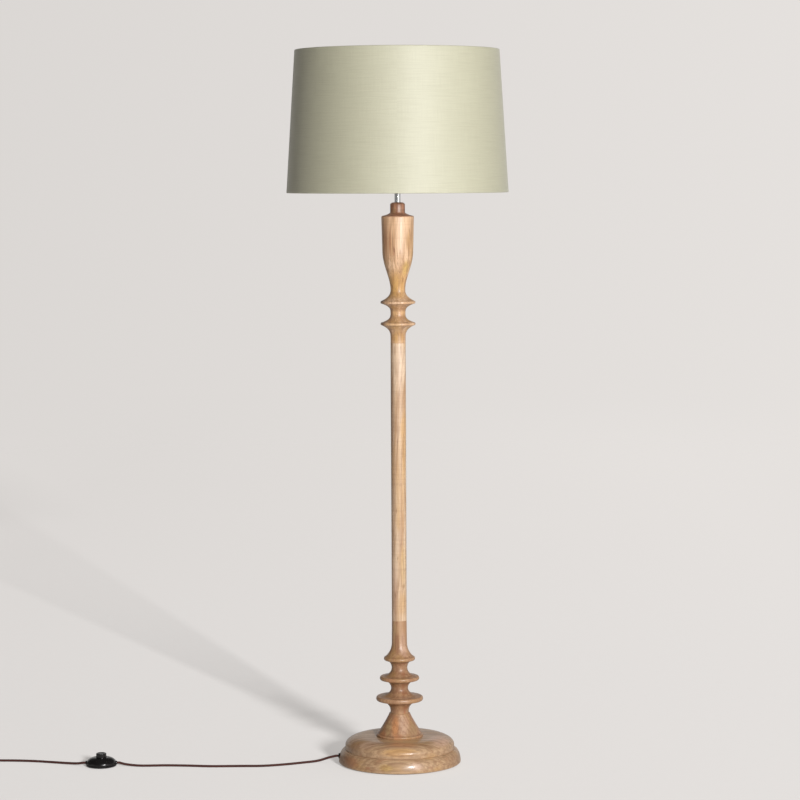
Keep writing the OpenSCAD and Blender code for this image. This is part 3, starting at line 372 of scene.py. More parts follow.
# %% Tones of the wood
HEART = colour(0.27, 0.125, 0.06)
COLUMN_TONES = (colour(0.80, 0.545, 0.345), colour(0.57, 0.34, 0.185), colour(0.61, 0.365, 0.15),
                colour(0.48, 0.22, 0.11), HEART)
LOWER_TONES = (colour(0.505, 0.30, 0.165), colour(0.35, 0.182, 0.098), colour(0.44, 0.25, 0.10),
               colour(0.36, 0.138, 0.062), HEART)
FOOT_TONES = (colour(0.56, 0.37, 0.215), colour(0.38, 0.235, 0.13), colour(0.54, 0.325, 0.14),
              colour(0.37, 0.165, 0.085), HEART)
POLE_TONES = (colour(0.76, 0.565, 0.39), colour(0.56, 0.355, 0.205), colour(0.62, 0.38, 0.17),
              colour(0.48, 0.27, 0.17), colour(0.30, 0.155, 0.085))
CAP_TONES = (colour(0.48, 0.235, 0.138), colour(0.31, 0.145, 0.085), colour(0.37, 0.17, 0.085),
             colour(0.25, 0.09, 0.045), colour(0.13, 0.05, 0.028))
AMBER, CREAM = colour(0.60, 0.33, 0.085), colour(0.80, 0.63, 0.47)
SHINE = (0.35, 0.17)
YELLOW, HONEY, PINK = colour(0.64, 0.42, 0.12), colour(0.55, 0.315, 0.115), colour(0.64, 0.42, 0.30)
RUSSET, UMBER, OLIVE = colour(0.50, 0.20, 0.085), colour(0.26, 0.12, 0.055), colour(0.44, 0.30, 0.14)
# The darkest brown is the painted shade at the left tips of the rings.
RING_TIP_SHADE = colour(0.13, 0.055, 0.03)
print("wood recipe and tones ready")

# %% [markdown]
# ## Turning
# Everything round on this lamp was made on a lathe or spun from sheet, so it is drawn here as half
# of its section and spun about the lamp's axis. The section starts as one point and grows by
# extruding it from corner to corner, as one would draw it by hand, and the spin then makes the
# surface. The sections repeat the drawing's own curves in millimetres with finer steps, and a
# corner that the drawing leaves sharp gets the small round that sanding gives it.

# %% Curves of the sections
MM = 0.001


def arc(cr, cz, ra, za, a0, a1, steps=20):
    """Points of an elliptical arc about (cr, cz) from angle a0 to angle a1."""
    angles = [math.radians(a0 + (a1 - a0) * i / steps) for i in range(steps + 1)]
    return [(cr + ra * math.cos(a), cz + za * math.sin(a)) for a in angles]


def flare(r0, z0, r1, z1, power, steps=26):
    """Hollow stretch from a rim to a neck, steep at the rim for a large power."""
    shares = [i / steps for i in range(steps + 1)]
    return [(r1 + (r0 - r1) * (1 - t) ** power, z0 + (z1 - z0) * t) for t in shares]


def swell(r0, z0, r1, z1, power=1.0, steps=30):
    """S-shaped stretch with upright ends."""
    shares = [i / steps for i in range(steps + 1)]
    return [(r0 + (r1 - r0) * (1 - math.cos(math.pi * t**power)) / 2, z0 + (z1 - z0) * t) for t in shares]


def cove(r0, z0, r1, z1, steps=18):
    """Quarter of an ellipse from a rim down to a neck."""
    angles = [math.pi / 2 * i / steps for i in range(steps + 1)]
    return [(r0 + (r1 - r0) * math.sin(a), z1 + (z0 - z1) * math.cos(a)) for a in angles]


RIM_DEPTH = 0.35


def rim(radius, z, thick):
    """Rounded edge of a turned disc."""
    depth = RIM_DEPTH * thick
    return arc(radius - depth, z, depth, thick / 2, -90, 90, 16)


def disc_edge(disc, side):
    """Where the rounded rim of a disc (radius, height, thickness) ends, below (-1) or above (1)."""
    radius, z, thick = disc
    return radius - RIM_DEPTH * thick, z + side * thick / 2


def raised(points, height):
    return [(r, z + height) for r, z in points]


# %% Spin a section
def put_first(obj):
    """Select one object alone and make it the active one."""
    bpy.ops.object.select_all(action="DESELECT")
    obj.select_set(True)
    bpy.context.view_layer.objects.active = obj


def leave_edit(piece):
    """Turn all faces outwards, leave edit mode and select the piece."""
    bpy.ops.mesh.select_all(action="SELECT")
    bpy.ops.mesh.normals_make_consistent(inside=False)
    bpy.ops.object.mode_set(mode="OBJECT")
    put_first(piece)


def add_thickness(piece, thickness):
    """Give a single sheet its thickness, half to each side."""
    sheet = piece.modifiers.new("sheet", "SOLIDIFY")
    sheet.thickness, sheet.offset = thickness, 0
    bpy.ops.object.modifier_apply(modifier="sheet")


def round_edges(piece, width, segments, limit, smooth_angle):
    """Round the edges that turn by more than the limit, in degrees, and smooth the rest."""
    edge = piece.modifiers.new("edge", "BEVEL")
    edge.width, edge.segments, edge.angle_limit = width, segments, math.radians(limit)
    bpy.ops.object.modifier_apply(modifier="edge")
    bpy.ops.object.shade_smooth_by_angle(angle=math.radians(smooth_angle))


def settle(piece, body, slot, *nodes):
    """Tie a piece to the body that carries it and hide the solids it stands for. The slot is not used."""
    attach(piece, body)
    if nodes:
        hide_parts(*nodes)


def draw_section(name, section, centre, closed):
    """A chain of edges through the section's corners, left in edit mode with all of it selected."""
    bpy.ops.object.select_all(action="DESELECT")
    corners = [Vector((centre[0] + r * MM, centre[1], centre[2] + z * MM)) for r, z in section]
    kept = [corners[0]]
    for corner in corners[1:]:
        if (corner - kept[-1]).length > 2e-5:
            kept.append(corner)
    bpy.ops.mesh.primitive_plane_add(size=0.0001, location=(0, 0, 0), enter_editmode=True)
    piece = bpy.context.object
    piece.name = piece.data.name = name
    bpy.ops.mesh.merge(type="CENTER")
    bpy.ops.transform.translate(value=kept[0])
    for a, b in zip(kept, kept[1:]):
        bpy.ops.mesh.extrude_region_move(TRANSFORM_OT_translate={"value": b - a})
    bpy.ops.mesh.select_all(action="SELECT")
    if closed:
        bpy.ops.object.mode_set(mode="OBJECT")
        last = len(piece.data.vertices) - 1
        piece.data.edges.add(1)
        piece.data.edges[-1].vertices = (0, last)
        piece.data.update()
        bpy.ops.object.mode_set(mode="EDIT")
        bpy.ops.mesh.select_all(action="SELECT")
    return piece


def turn_piece(name, section, finish, steps=128, centre=(0, 0, 0), closed=True, smooth_angle=35):
    """Spin a section, in millimetres, about the upright axis through the centre, in metres."""
    piece = draw_section(name, section, centre, closed)
    bpy.ops.mesh.spin(steps=steps, angle=2 * math.pi, center=centre, axis=(0, 0, 1))
    bpy.ops.mesh.select_all(action="SELECT")
    bpy.ops.mesh.remove_doubles(threshold=0.000005)
    leave_edit(piece)
    bpy.ops.object.shade_smooth_by_angle(angle=math.radians(smooth_angle))
    piece.data.materials.clear()
    piece.data.materials.append(finish)
    return piece


# %% Painted highlight on rims and painted shade in hollows
REACH = 0.0035


def store_relief_shading(piece, section):
    """Store how far each point stands proud of its neighbours: 0.5 is flat, more is a rim."""
    corners = [Vector((r * MM, z * MM)) for r, z in section]
    run = [0.0]
    for a, b in zip(corners, corners[1:]):
        run.append(run[-1] + (b - a).length)

    def at(distance):
        distance = min(max(distance, 0.0), run[-1])
        for i in range(len(run) - 1):
            if distance <= run[i + 1] and run[i + 1] > run[i]:
                return corners[i].lerp(corners[i + 1], (distance - run[i]) / (run[i + 1] - run[i]))
        return corners[-1]

    proud = {}
    for corner, distance in zip(corners, run):
        before, after = at(distance - REACH), at(distance + REACH)
        middle, along = (before + after) / 2, after - before
        side = Vector((along.y, -along.x)).normalized() if along.length > 1e-6 else Vector((1, 0))
        share = (corner - middle).dot(side) / REACH
        proud[(round(corner.x, 5), round(corner.y, 5))] = 0.5 + 0.5 * max(-1, min(1, 2.2 * share))
    values = []
    for vert in piece.data.vertices:
        radius = math.hypot(vert.co.x, vert.co.y)
        key = (round(radius, 5), round(vert.co.z, 5))
        if key not in proud:
            near = min(proud, key=lambda k: (k[0] - radius) ** 2 + (k[1] - vert.co.z) ** 2)
            proud[key] = proud[near]
        values.append(proud[key])
    # The wood finish paints shade where this value is low and a highlight where it is high.
    layer = piece.data.attributes.new("relief_shading", "FLOAT", "POINT")
    layer.data.foreach_set("value", values)


# %% [markdown]
# ## The foot
# The foot is two discs glued and screwed on each other. The lower one, the plinth, has its top
# edge rounded off almost over its whole height, and the upper one has a wide bullnose. Their
# grain runs across the picture, so long brown streaks run over the top of the upper tier and the
# end grain shows at the left and right of the rims. The felt disc that comes under the plinth
# leaves a thin shadow line above the floor.

# %% Foot
LOWER_Z, UPPER_Z, CAP_Z = 106, 885, 1148
ROD_HOLE_R = 5.4


def turn_wood(name, section, finish, node, slot, steps=160):
    piece = turn_piece(name, section, finish, steps)
    store_relief_shading(piece, section)
    settle(piece, "lamp", slot, node)
    print(name, len(piece.data.polygons), "faces")


plinth_finish = wood("plinth_wood", FOOT_TONES, (3.1, 1.7, 0.4), (0.02, 0.05), 0.009, [
    ((-100, -75, 16), (16, 40, 12), RUSSET, 0.55), ((-28, -125, 14), (16, 20, 8), YELLOW, 0.5),
    # The second umber patch here, at the plinth's left, is painted shade on the side away from the light; the
    # next one darkens the plinth's right side.
    ((35, -122, 18), (14, 20, 10), PINK, 0.5), ((-112, -50, 14), (26, 40, 16), UMBER, 0.45),
    ((112, -50, 14), (24, 40, 16), UMBER, 0.35),
    ((-60, -108, 8), (34, 30, 3), UMBER, 0.35),
], True, SHINE)
plinth_section = (
    [(81, 2), (126.7, 2), (128.2, 3.5)] + arc(114.2, 4, 14, 26, 0, 90)
    + [(20, 30), (20, 20), (81, 20)]
)
turn_wood("foot_lower_tier", plinth_section, plinth_finish, "base_plinth", "wood_foot")

tier_finish = wood("tier_wood", FOOT_TONES, (8.3, 2.2, 5.4), (-0.05, 0.09), 0.011, [
    ((4, -88, 56), (36, 16, 12), RUSSET, 0.5), ((52, -84, 55), (16, 2.4, 6), UMBER, 0.8),
    ((-60, -70, 50), (30, 22, 14), PINK, 0.4), ((0, -112, 44), (40, 14, 10), colour(0.68, 0.38, 0.13), 0.65),
    # The pale pink patch on the tier's top at the right is partly the wood's pink and partly painted sheen.
    ((84, -40, 55), (26, 44, 12), colour(0.74, 0.49, 0.35), 0.85), ((60, 33, 57), (30, 2.8, 5), UMBER, 0.85),
    ((-48, -78, 56), (44, 2.6, 6), UMBER, 0.75), ((78, 8, 57), (28, 2.4, 5), UMBER, 0.7),
    ((-96, -58, 45), (16, 26, 14), UMBER, 0.45),
], True, SHINE)
tier_section = (
    [(ROD_HOLE_R, 30), (114, 30), (114.5, 30.5)] + arc(77.5, 39, 37, 18, 0, 90, 26)
    + [(19.1, 57), (19.1, 38.9), (ROD_HOLE_R, 38.9)]
)
turn_wood("foot_upper_tier", tier_section, tier_finish, "base_upper_disc", "wood_foot")

# %% [markdown]
# ## The column
# Five turned pieces stand on each other, each glued with a spigot, and a threaded tube pulls them
# together. The joints show as fine lines and as jumps in the grain, because each piece came from
# another block: the pole is the palest, the cone and the lower turning are browner, and the cap
# is a reddish dark piece. The discs are thin with rounded rims, and the coves between them are
# quarter ellipses, which is what a lathe tool that is swung round its rest leaves.

# %% Cone and lower turning
cone_finish = wood("cone_wood", LOWER_TONES, (5.2, 7.7, 1.9), (0.03, 0.04), 0.007, [
    ((-9, -32, 78), (8, 20, 34), colour(0.60, 0.26, 0.10), 0.75), ((-24, -30, 76), (7, 20, 24), OLIVE, 0.6),
    ((26, -28, 70), (10, 20, 26), colour(0.40, 0.28, 0.16), 0.6), ((-36, -24, 64), (9, 20, 9), RUSSET, 0.6),
    ((10, -32, 84), (12, 20, 26), PINK, 0.6), ((-2, -46, 62), (9, 10, 7), RUSSET, 0.5),
])
cone_section = (
    [(ROD_HOLE_R, 39), (19, 39), (19, 57), (48, 57)]
    + raised(arc(46.5, 2.5, 2.5, 2.5, -30, 60, 12), 57)
    + raised(flare(46.5, 5, 21.7, 48.5, 1.12), 57)
    + [(21.4, 105.8), (21.0, 106), (9.1, 106), (9.1, 83.9), (ROD_HOLE_R, 83.9)]
)
turn_wood("column_cone", cone_section, cone_finish, "foot_cone", "wood_column")

DISC_A, DISC_B, RING_C = (49.3, 30.9, 9.4), (41.4, 74.0, 8.0), (32.7, 115.6, 7.6)


def hollow(below, above, neck):
    """The two coves between a disc and the next one up, which meet at the neck."""
    return cove(*disc_edge(below, 1), *neck) + cove(*disc_edge(above, -1), *neck)[::-1]


lower_outline = (
    [(19.2, 0)] + cove(*disc_edge(DISC_A, -1), 19.2, 5)[::-1] + rim(*DISC_A)
    + hollow(DISC_A, DISC_B, (17.7, 52.45)) + rim(*DISC_B)
    + hollow(DISC_B, RING_C, (16.4, 95.8)) + rim(*RING_C)
    + flare(*disc_edge(RING_C, 1), 15.9, 155.6, 3) + [(15.5, 195.8), (15.3, 196)]
)
lower_section = (
    [(ROD_HOLE_R, 84), (9, 84), (9, 106)] + raised(lower_outline, LOWER_Z)
    + [(9.1, 302), (9.1, 279.9), (ROD_HOLE_R, 279.9)]
)
lower_finish = wood("lower_turning_wood", LOWER_TONES, (1.3, 4.1, 9.2), (-0.03, 0.035), 0.006, [
    ((-3, -16, 258), (2.6, 8, 22), UMBER, 0.75), ((-8, -14, 250), (1.6, 8, 26), UMBER, 0.6),
    ((9, -16, 245), (8, 10, 34), PINK, 0.65),
    ((-24, -40, 180), (14, 14, 8), RUSSET, 0.5), ((10, -30, 137), (14, 24, 8), PINK, 0.4),
    ((-9, -14, 285), (7, 10, 14), OLIVE, 0.6),
])
turn_wood("column_lower_turning", lower_section, lower_finish, "lower_turning", "wood_column")

# %% Pole
pole_section = (
    [(ROD_HOLE_R, 280), (9, 280), (9, 302), (15.3, 302), (15.5, 302.2)]
    + [(15.5 + 0.1 * i / 8, 302 + 194.3 * i / 8) for i in range(1, 9)]
    + [(15.6 + 0.3 * i / 8, 496.3 + 272.1 * i / 8) for i in range(1, 9)]
    + [(15.7, 884.8), (15.5, 885), (9.1, 885), (9.1, 862.9), (ROD_HOLE_R, 862.9)]
)
pole_finish = wood("pole_wood", POLE_TONES, (6.4, 2.9, 3.3), (0.024, 0.021), 0.0055, [
    ((5, -15, 600), (14, 12, 110), HONEY, 0.45), ((9, -12, 376), (3.5, 5, 5), UMBER, 0.5),
    ((2, -14, 850), (15, 12, 75), CREAM, 0.5), ((-7, -13, 870), (2.2, 8, 12), UMBER, 0.5),
    ((6, -14, 868), (1.6, 8, 16), UMBER, 0.45), ((8, -13, 420), (8, 8, 50), YELLOW, 0.35),
    # The long grey-brown patch down the pole's left side is painted shade.
    ((-9, -12, 360), (8, 8, 60), PINK, 0.6), ((-13, -8, 720), (7, 10, 170), colour(0.36, 0.235, 0.155), 0.55),
])
turn_wood("column_pole", pole_section, pole_finish, "pole", "wood_pole")

# %% Upper turning and cap
RING_D, RING_E = (36.4, 40.2, 5.4), (36.4, 85.0, 5.4)
WAIST = (15.6, 62.6)
upper_outline = (
    [(15.5, 0), (15.7, 0.2)] + flare(*disc_edge(RING_D, -1), 15.7, 9.2, 3.4)[::-1] + rim(*RING_D)
    + flare(*disc_edge(RING_D, 1), *WAIST, 3.2) + flare(*disc_edge(RING_E, -1), *WAIST, 3.2)[::-1]
    + rim(*RING_E) + flare(*disc_edge(RING_E, 1), 15.3, 112, 2.6) + swell(15.3, 112, 32.1, 193, 0.9)
    + [(33.95, 261.0), (33.9, 261.8), (33.5, 262.6), (33.0, 263)]
)
upper_section = (
    [(ROD_HOLE_R, 863), (9, 863), (9, 885)] + raised(upper_outline, UPPER_Z)
    + [(20, 1148), (20, 1110), (ROD_HOLE_R, 1110)]
)
upper_finish = wood("upper_turning_wood", COLUMN_TONES, (2.6, 9.4, 7.1), (0.033, -0.028), 0.007, [
    ((-1, -15, 896), (18, 12, 15), HONEY, 0.85), ((16, -19, 1042), (10, 12, 17), YELLOW, 0.75),
    ((0, -17, 1008), (26, 14, 34), AMBER, 0.7), ((-24, -22, 1106), (2.2, 10, 44), UMBER, 0.7),
    ((-16, -28, 1100), (2.0, 10, 36), RUSSET, 0.7), ((-10, -30, 1094), (1.4, 8, 26), UMBER, 0.65),
    # The two near-black patches at the left tips of the rings are painted shade.
    ((-37, -8, 925), (14, 30, 7), RING_TIP_SHADE, 0.95), ((-37, -8, 970), (14, 30, 7), RING_TIP_SHADE, 0.95),
    # The two brown patches at the cup's left are partly the wood's brown and partly painted shade on the side
    # away from the light.
    ((-27, -19, 1112), (9, 16, 50), colour(0.42, 0.20, 0.11), 0.5),
    ((-30, -14, 1120), (5, 10, 30), UMBER, 0.4), ((29, -16, 1125), (2.0, 12, 26), UMBER, 0.65),
    ((5, -31, 1075), (1.2, 6, 7), UMBER, 0.6), ((-8, -30, 1072), (1.2, 6, 6), RUSSET, 0.6),
])
turn_wood("column_upper_turning", upper_section, upper_finish, "upper_turning", "wood_column")

cap_outline = (
    [(33.0, 0)] + flare(33.25, 0.75, 15.4, 9, 2) + arc(7.5, 24, 7.9, 5, 0, 90, 16)
)
cap_section = (
    [(ROD_HOLE_R, 1136), (19.9, 1136), (19.9, 1148)] + raised(cap_outline, CAP_Z) + [(ROD_HOLE_R, 1177)]
)
cap_finish = wood("cap_wood", CAP_TONES, (4.8, 6.2, 2.7), (0.02, 0.015), 0.005, [
    ((5, -14, 1162), (5, 8, 11), PINK, 0.55), ((-8, -12, 1160), (4, 8, 9), OLIVE, 0.5),
    ((-11, -8, 1170), (1.8, 6, 5), UMBER, 0.8), ((-3, -14, 1171), (1.6, 6, 4), UMBER, 0.7),
    ((-2, -15, 1166), (1.4, 5, 1.8), UMBER, 0.9),
])
turn_wood("column_cap", cap_section, cap_finish, "cup_cap", "wood_cap")

# %% [markdown]
# ## Shade
# The drum is a sheet of styrene with fabric glued to its outside, folded round two wire rings.
# The fabric is a plain weave in a soft sage colour, with thicker threads here and there, most of
# them level. It is one sheet, so it is made as one: the wall and both turned-in edges are drawn
# as a single line, spun, and given the cloth's thickness with a Solidify modifier. Where the
# sheet's ends meet, at the back, a narrow fold of the same cloth lies over the joint. The map for
# the weave holds metres round the shade and metres up its wall, so the threads keep their size.

# %% Shade fabric
SHADE_Z, SHADE_H, SHADE_R, SHADE_TOP_R = 1197, 294, 230, 211.5
FABRIC_T, HEM_W = 0.6, 5


def wall_r(z):
    """Outer radius of the shade at a height, in millimetres."""
    return SHADE_R + (SHADE_TOP_R - SHADE_R) * (z - SHADE_Z) / SHADE_H


def cloth_finish(name, base, worn):
    """Plain weave: level and upright threads, slubs, and a soft gloss."""
    f = Finish(name)
    weave = f.node("UVMap", {"uv_map": "weave"})

    def woven(around, up, detail, roughness=0.55):
        return f.noise(f.place((around, up, 1), source=weave), detail, roughness)

    slub, cloud, fuzz = woven(14, 420, 3, 0.6), woven(9, 11, 3), woven(18, 1500, 2) + woven(1500, 18, 2)
    around, up, _ = f.split(weave)
    pitch = 0.00052
    thread_x, thread_y = around * (2 * math.pi / pitch), up * (2 * math.pi / pitch)
    over = thread_x.math("SINE", thread_x) * thread_x.math("SINE", thread_y)
    tone = f.step(slub, 0.42, 0.72)
    body = f.mix(tone * 0.45, base, worn)
    body = f.tint(body, worn, fuzz, 0.85, 1.2, 0.40)
    body = f.tint(body, worn, over, 0.1, -0.9, 0.25)
    body = f.tint(body, worn, cloud, 0.35, 0.7, 0.12)
    height = over * 0.35 + fuzz * 0.5 + tone * 0.6
    return f.shader(body, 0.58 + tone * 0.06, height, 0.00015, Specular_IOR_Level=1.0, Coat_Weight=0.75,
                    Coat_Roughness=0.52, Sheen_Weight=0.2, Sheen_Roughness=0.4)


def map_weave(piece):
    """Give the piece its weave map: metres round and metres up."""
    mesh = piece.data
    uv = mesh.uv_layers.new(name="weave")
    middle = (SHADE_R + SHADE_TOP_R) / 2 * MM
    for face in mesh.polygons:
        turn_at = math.atan2(face.center.x, face.center.y)
        for loop in face.loop_indices:
            point = mesh.vertices[mesh.loops[loop].vertex_index].co
            turn_here = math.atan2(point.x, point.y)
            turn_here += 2 * math.pi * round((turn_at - turn_here) / (2 * math.pi))
            depth = wall_r(point.z / MM) * MM - math.hypot(point.x, point.y)
            uv.data[loop].uv = (turn_here * middle, point.z + depth)


linen = cloth_finish("sage_linen", colour(0.502, 0.490, 0.354), colour(0.405, 0.387, 0.270))
half = FABRIC_T / 2
low, high = SHADE_Z + half, SHADE_Z + SHADE_H - half
fold_low = arc(wall_r(low) - 1.2 - half, low + 1.2, 1.2, 1.2, -90, 0, 6)
fold_high = arc(wall_r(high) - 1.2 - half, high - 1.2, 1.2, 1.2, 0, 90, 6)
wall = [(wall_r(z) - half, z) for z in (low + 1.2 + (high - low - 2.4) * i / 24 for i in range(1, 24))]
fabric_section = (
    [(wall_r(low) - HEM_W, low)] + fold_low + wall + fold_high + [(wall_r(high) - HEM_W, high)]
)
fabric = turn_piece("shade_linen_cover", fabric_section, linen, steps=256, closed=False, smooth_angle=60)
add_thickness(fabric, FABRIC_T * MM)
map_weave(fabric)
settle(fabric, "shade", "linen", "shade_fabric")

# %% Fold over the shade's joint
SEAM_TURN = math.radians(2.6)
seam_section = [(wall_r(z) + 0.45, z) for z in (low + 0.6 + (high - low - 1.2) * i / 20 for i in range(21))]
seam = draw_section("shade_linen_fold", seam_section, (0, 0, 0), False)
bpy.ops.mesh.spin(steps=6, angle=SEAM_TURN, center=(0, 0, 0), axis=(0, 0, 1))
leave_edit(seam)
seam.rotation_euler.z = math.radians(90) - SEAM_TURN / 2
bpy.ops.object.transform_apply(rotation=True)
add_thickness(seam, 0.0009)
round_edges(seam, 0.00035, 2, 30, 50)
seam.data.materials.append(linen)
map_weave(seam)
settle(seam, "shade", "linen")
print("shade fabric:", len(fabric.data.polygons), "faces")

# %% [markdown]
# ## Inside the shade
# The lining is a thin milky styrene sheet with a faint gloss. Two welded wire rings hold it round,
# and three wire arms join the fitter ring to the lower one. The wires are powder-coated white. The
# rings are spun from a small circle, and the arms and the fitter ring keep their solids.

# %% Lining
def powder_coat(name, base, rough=0.5):
    """Plain paint or plastic with a fine orange-peel relief and slight changes of tone."""
    f = Finish(name)
    grain = f.grain(900, 2)
    cloud = f.grain(25, 3)
    dark = tuple(0.82 * c for c in base[:3]) + (1,)
    body = f.tint(base, dark, cloud, 0.4, 0.75, 0.6)
    return f.shader(body, rough + cloud * 0.12, grain, 0.00006)


lining_finish = powder_coat("styrene_lining", colour(0.80, 0.78, 0.70), 0.38)
LINER_OUT, LINER_IN = 0.7, 1.5
liner_lines = [SHADE_Z + 0.7 + (SHADE_H - 1.4) * i / 24 for i in range(25)]
liner_section = (
    [(wall_r(z) - LINER_OUT, z) for z in liner_lines]
    + [(wall_r(z) - LINER_IN, z) for z in reversed(liner_lines)]
)
liner = turn_piece("shade_lining", liner_section, lining_finish, steps=192)
settle(liner, "shade", "liner", "shade_liner")

# %% Wire rings
WIRE_R = 2
wire_finish = powder_coat("white_wire", colour(0.80, 0.79, 0.76), 0.42)
low_wire_z, top_wire_z = SHADE_Z + FABRIC_T + WIRE_R, SHADE_Z + SHADE_H - FABRIC_T - WIRE_R
low_wire_r = wall_r(low_wire_z) - LINER_IN - WIRE_R - 0.1
top_wire_r = wall_r(top_wire_z + WIRE_R) - LINER_IN - WIRE_R - 0.1
for name, radius, z, node in (
    ("shade_wire_low", low_wire_r, low_wire_z, "shade_low_ring"),
    ("shade_wire_top", top_wire_r, top_wire_z, "shade_top_ring"),
):
    wire = turn_piece(name, arc(radius, z, WIRE_R, WIRE_R, 0, 345, 23), wire_finish, steps=192)
    settle(wire, "shade", "wire", node)
print("wire rings at", round(low_wire_r, 1), "and", round(top_wire_r, 1), "mm")

# %% [markdown]
# ## Metal and plastic of the small parts
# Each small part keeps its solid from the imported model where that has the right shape, and gets
# its finish here. Drawn metal has fine lines along one direction, cast iron is grainy, and moulded
# plastic and rubber have a fine texture. The felt pad is a cut disc with a soft round edge.

# %% Finishes of the small parts
def drawn_metal(name, base, rough, tarnish=0.25, along=(60, 60, 2500)):
    """Metal with fine lines and a little tarnish."""
    f = Finish(name)
    lines = f.noise(f.place(along), 2)
    cloud = f.grain(70, 4)
    dark = tuple(0.55 * c for c in base[:3]) + (1,)
    body = f.tint(base, dark, cloud, 0.5, 0.8, tarnish)
    return f.shader(body, rough + lines * 0.12 + cloud * 0.08, lines, 0.00002, Metallic=1.0)


def moulded(name, base, rough=0.4, grain=1400, dust=0.1):
    """Moulded plastic or rubber."""
    f = Finish(name)
    fine = f.grain(grain, 2)
    cloud = f.grain(90, 3)
    pale = tuple(min(1, c + 0.05) for c in base[:3]) + (1,)
    body = f.tint(base, pale, cloud, 0.45, 0.8, dust)
    return f.shader(body, rough + fine * 0.10, fine, 0.00004)


steel = drawn_metal("zinc_steel", colour(0.62, 0.62, 0.61), 0.34)
brass = drawn_metal("brass", colour(0.78, 0.58, 0.27), 0.28)
nickel = drawn_metal("nickel", colour(0.72, 0.70, 0.66), 0.22)
iron = moulded("cast_iron", colour(0.055, 0.056, 0.06), 0.62, 380, 0.4)
bakelite = moulded("black_bakelite", colour(0.012, 0.011, 0.010), 0.24, 700, 0.12)
rubber = moulded("black_rubber", colour(0.018, 0.018, 0.018), 0.62, 1500, 0.3)
porcelain = moulded("porcelain", colour(0.78, 0.76, 0.70), 0.22, 300, 0.2)
black_glass = moulded("black_glass", colour(0.010, 0.010, 0.014), 0.12, 300, 0.1)

CARRIED = (
    (steel, "weight_screws base_screws threaded_tube base_washer base_nut cup_washer cup_nut cord_clip "
            "clip_screws switch_screws"),
    (brass, "holder_shell holder_contact holder_terminals switch_contacts switch_terminals"),
    (nickel, "bulb_tip plug_pins"), (iron, "base_weight"), (porcelain, "holder_core"),
    (rubber, "cord_grommet switch_pad"), (bakelite, "switch_base"), (black_glass, "bulb_insulator"),
    (wire_finish, "shade_fitter shade_arms"),
)


def give_finish(node, finish):
    """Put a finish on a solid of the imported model, whose mesh stays as it is."""
    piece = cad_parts[node]
    for slot in piece.material_slots:
        slot.link = "OBJECT"
        slot.material = finish


for finish, nodes in CARRIED:
    for node in nodes.split():
        give_finish(node, finish)
print("finishes given to solids:", len(CARRIED))

# %% Felt pad
FELT_R = 120.2
felt = Finish("brown_felt")
hairs = felt.noise(felt.place((2600, 2600, 900)), 3, 0.7)
tufts = felt.grain(320, 3)
felt_tone = felt.tint(colour(0.030, 0.022, 0.018), colour(0.085, 0.068, 0.055), hairs, 0.35, 0.7, 1)
felt_tone = felt.tint(felt_tone, colour(0.12, 0.10, 0.08), tufts, 0.45, 0.75, 0.35)
felt = felt.shader(felt_tone, 0.90 + tufts * 0.08, hairs + tufts * 0.8, 0.0005, Sheen_Weight=0.4)
felt_section = [(r, 0) for r in (0, 30, 60, 90)] + arc(FELT_R - 0.9, 1, 0.9, 1, -90, 90, 10)
felt_section += [(r, 2) for r in (90, 60, 30, 0)]
pad = turn_piece("foot_felt_pad", felt_section, felt, steps=160, closed=False)
settle(pad, "lamp", "felt", "base_felt")
print("felt pad:", len(pad.data.polygons), "faces")

# %% [markdown]
# ## Stem and lampholder
# A short chrome sleeve covers the threaded tube above the cap. It is polished, so its look comes
# from what it reflects. The black lampholder above it has two shells. The upper one has a coarse
# outside thread, drawn here as separate round ridges, for the clamp ring that holds the shade's
# fitter ring against the flange. The bulb's own cap has the rolled round thread of a screw bulb.

# %% Stem
chrome = Finish("chrome")
smear = chrome.noise(chrome.place((40, 40, 220)), 3)
chrome_tone = chrome.tint(colour(0.86, 0.87, 0.88), colour(0.66, 0.67, 0.69), smear, 0.5, 0.8, 0.2)
chrome = chrome.shader(chrome_tone, 0.06 + smear * 0.08, Metallic=1.0)
stem_section = [
    (5.1, 1177), (6.1, 1177), (6.4, 1177.3), (6.4, 1177.9), (6.25, 1178.0), (6.25, 1178.2), (6.25, 1203.8),
    (6.25, 1204.0), (6.4, 1204.1), (6.4, 1204.7), (6.1, 1205), (5.1, 1205),
]
stem = turn_piece("chrome_stem", stem_section, chrome, steps=96)
settle(stem, "lamp", "chrome", "stem_sleeve")

# %% Lampholder shells
BODY_Z, SEAT_Z = 1232, 1239
lower_shell_section = (
    [(5.03, 1205), (8.2, 1205), (8.5, 1205.3), (8.5, 1212)]
    + arc(8.5, 1224, 11.1, 12, -90, 0, 16) + [(19.6, 1231.6), (19.3, 1232), (16.5, 1232), (16.5, 1222)]
    + [(14.9, 1222), (14.9, 1220), (7.5, 1214), (5.03, 1214)]
)
lower_shell = turn_piece("lampholder_lower_shell", lower_shell_section, bakelite, steps=96)
THREAD_TURNS, THREAD_PITCH = 8, 2.1
thread = []
for i in range(THREAD_TURNS):
    z = SEAT_Z + 3 + THREAD_PITCH * i
    thread += [(19.1, z), (19.35, z + 0.35), (19.6, z + 0.85), (19.6, z + 1.15), (19.35, z + 1.6)]
upper_shell_section = (
    [(16.5, BODY_Z), (19.3, BODY_Z), (19.6, BODY_Z + 0.4), (19.6, 1237), (23.2, 1237), (23.5, 1237.3)]
    + [(23.5, 1238.7), (23.2, 1239), (19.6, 1239), (19.3, 1240)] + thread
    + [(19.1, 1259.5), (19.3, 1260), (19.3, 1265), (18.6, 1266), (14.4, 1266), (14.2, 1265.8), (14.2, 1263)]
    + [(16.5, 1261)]
)
upper_shell = turn_piece("lampholder_upper_shell", upper_shell_section, bakelite, steps=96)
settle(lower_shell, "lamp", "holder", "holder_cap")
settle(upper_shell, "lamp", "holder", "holder_body")

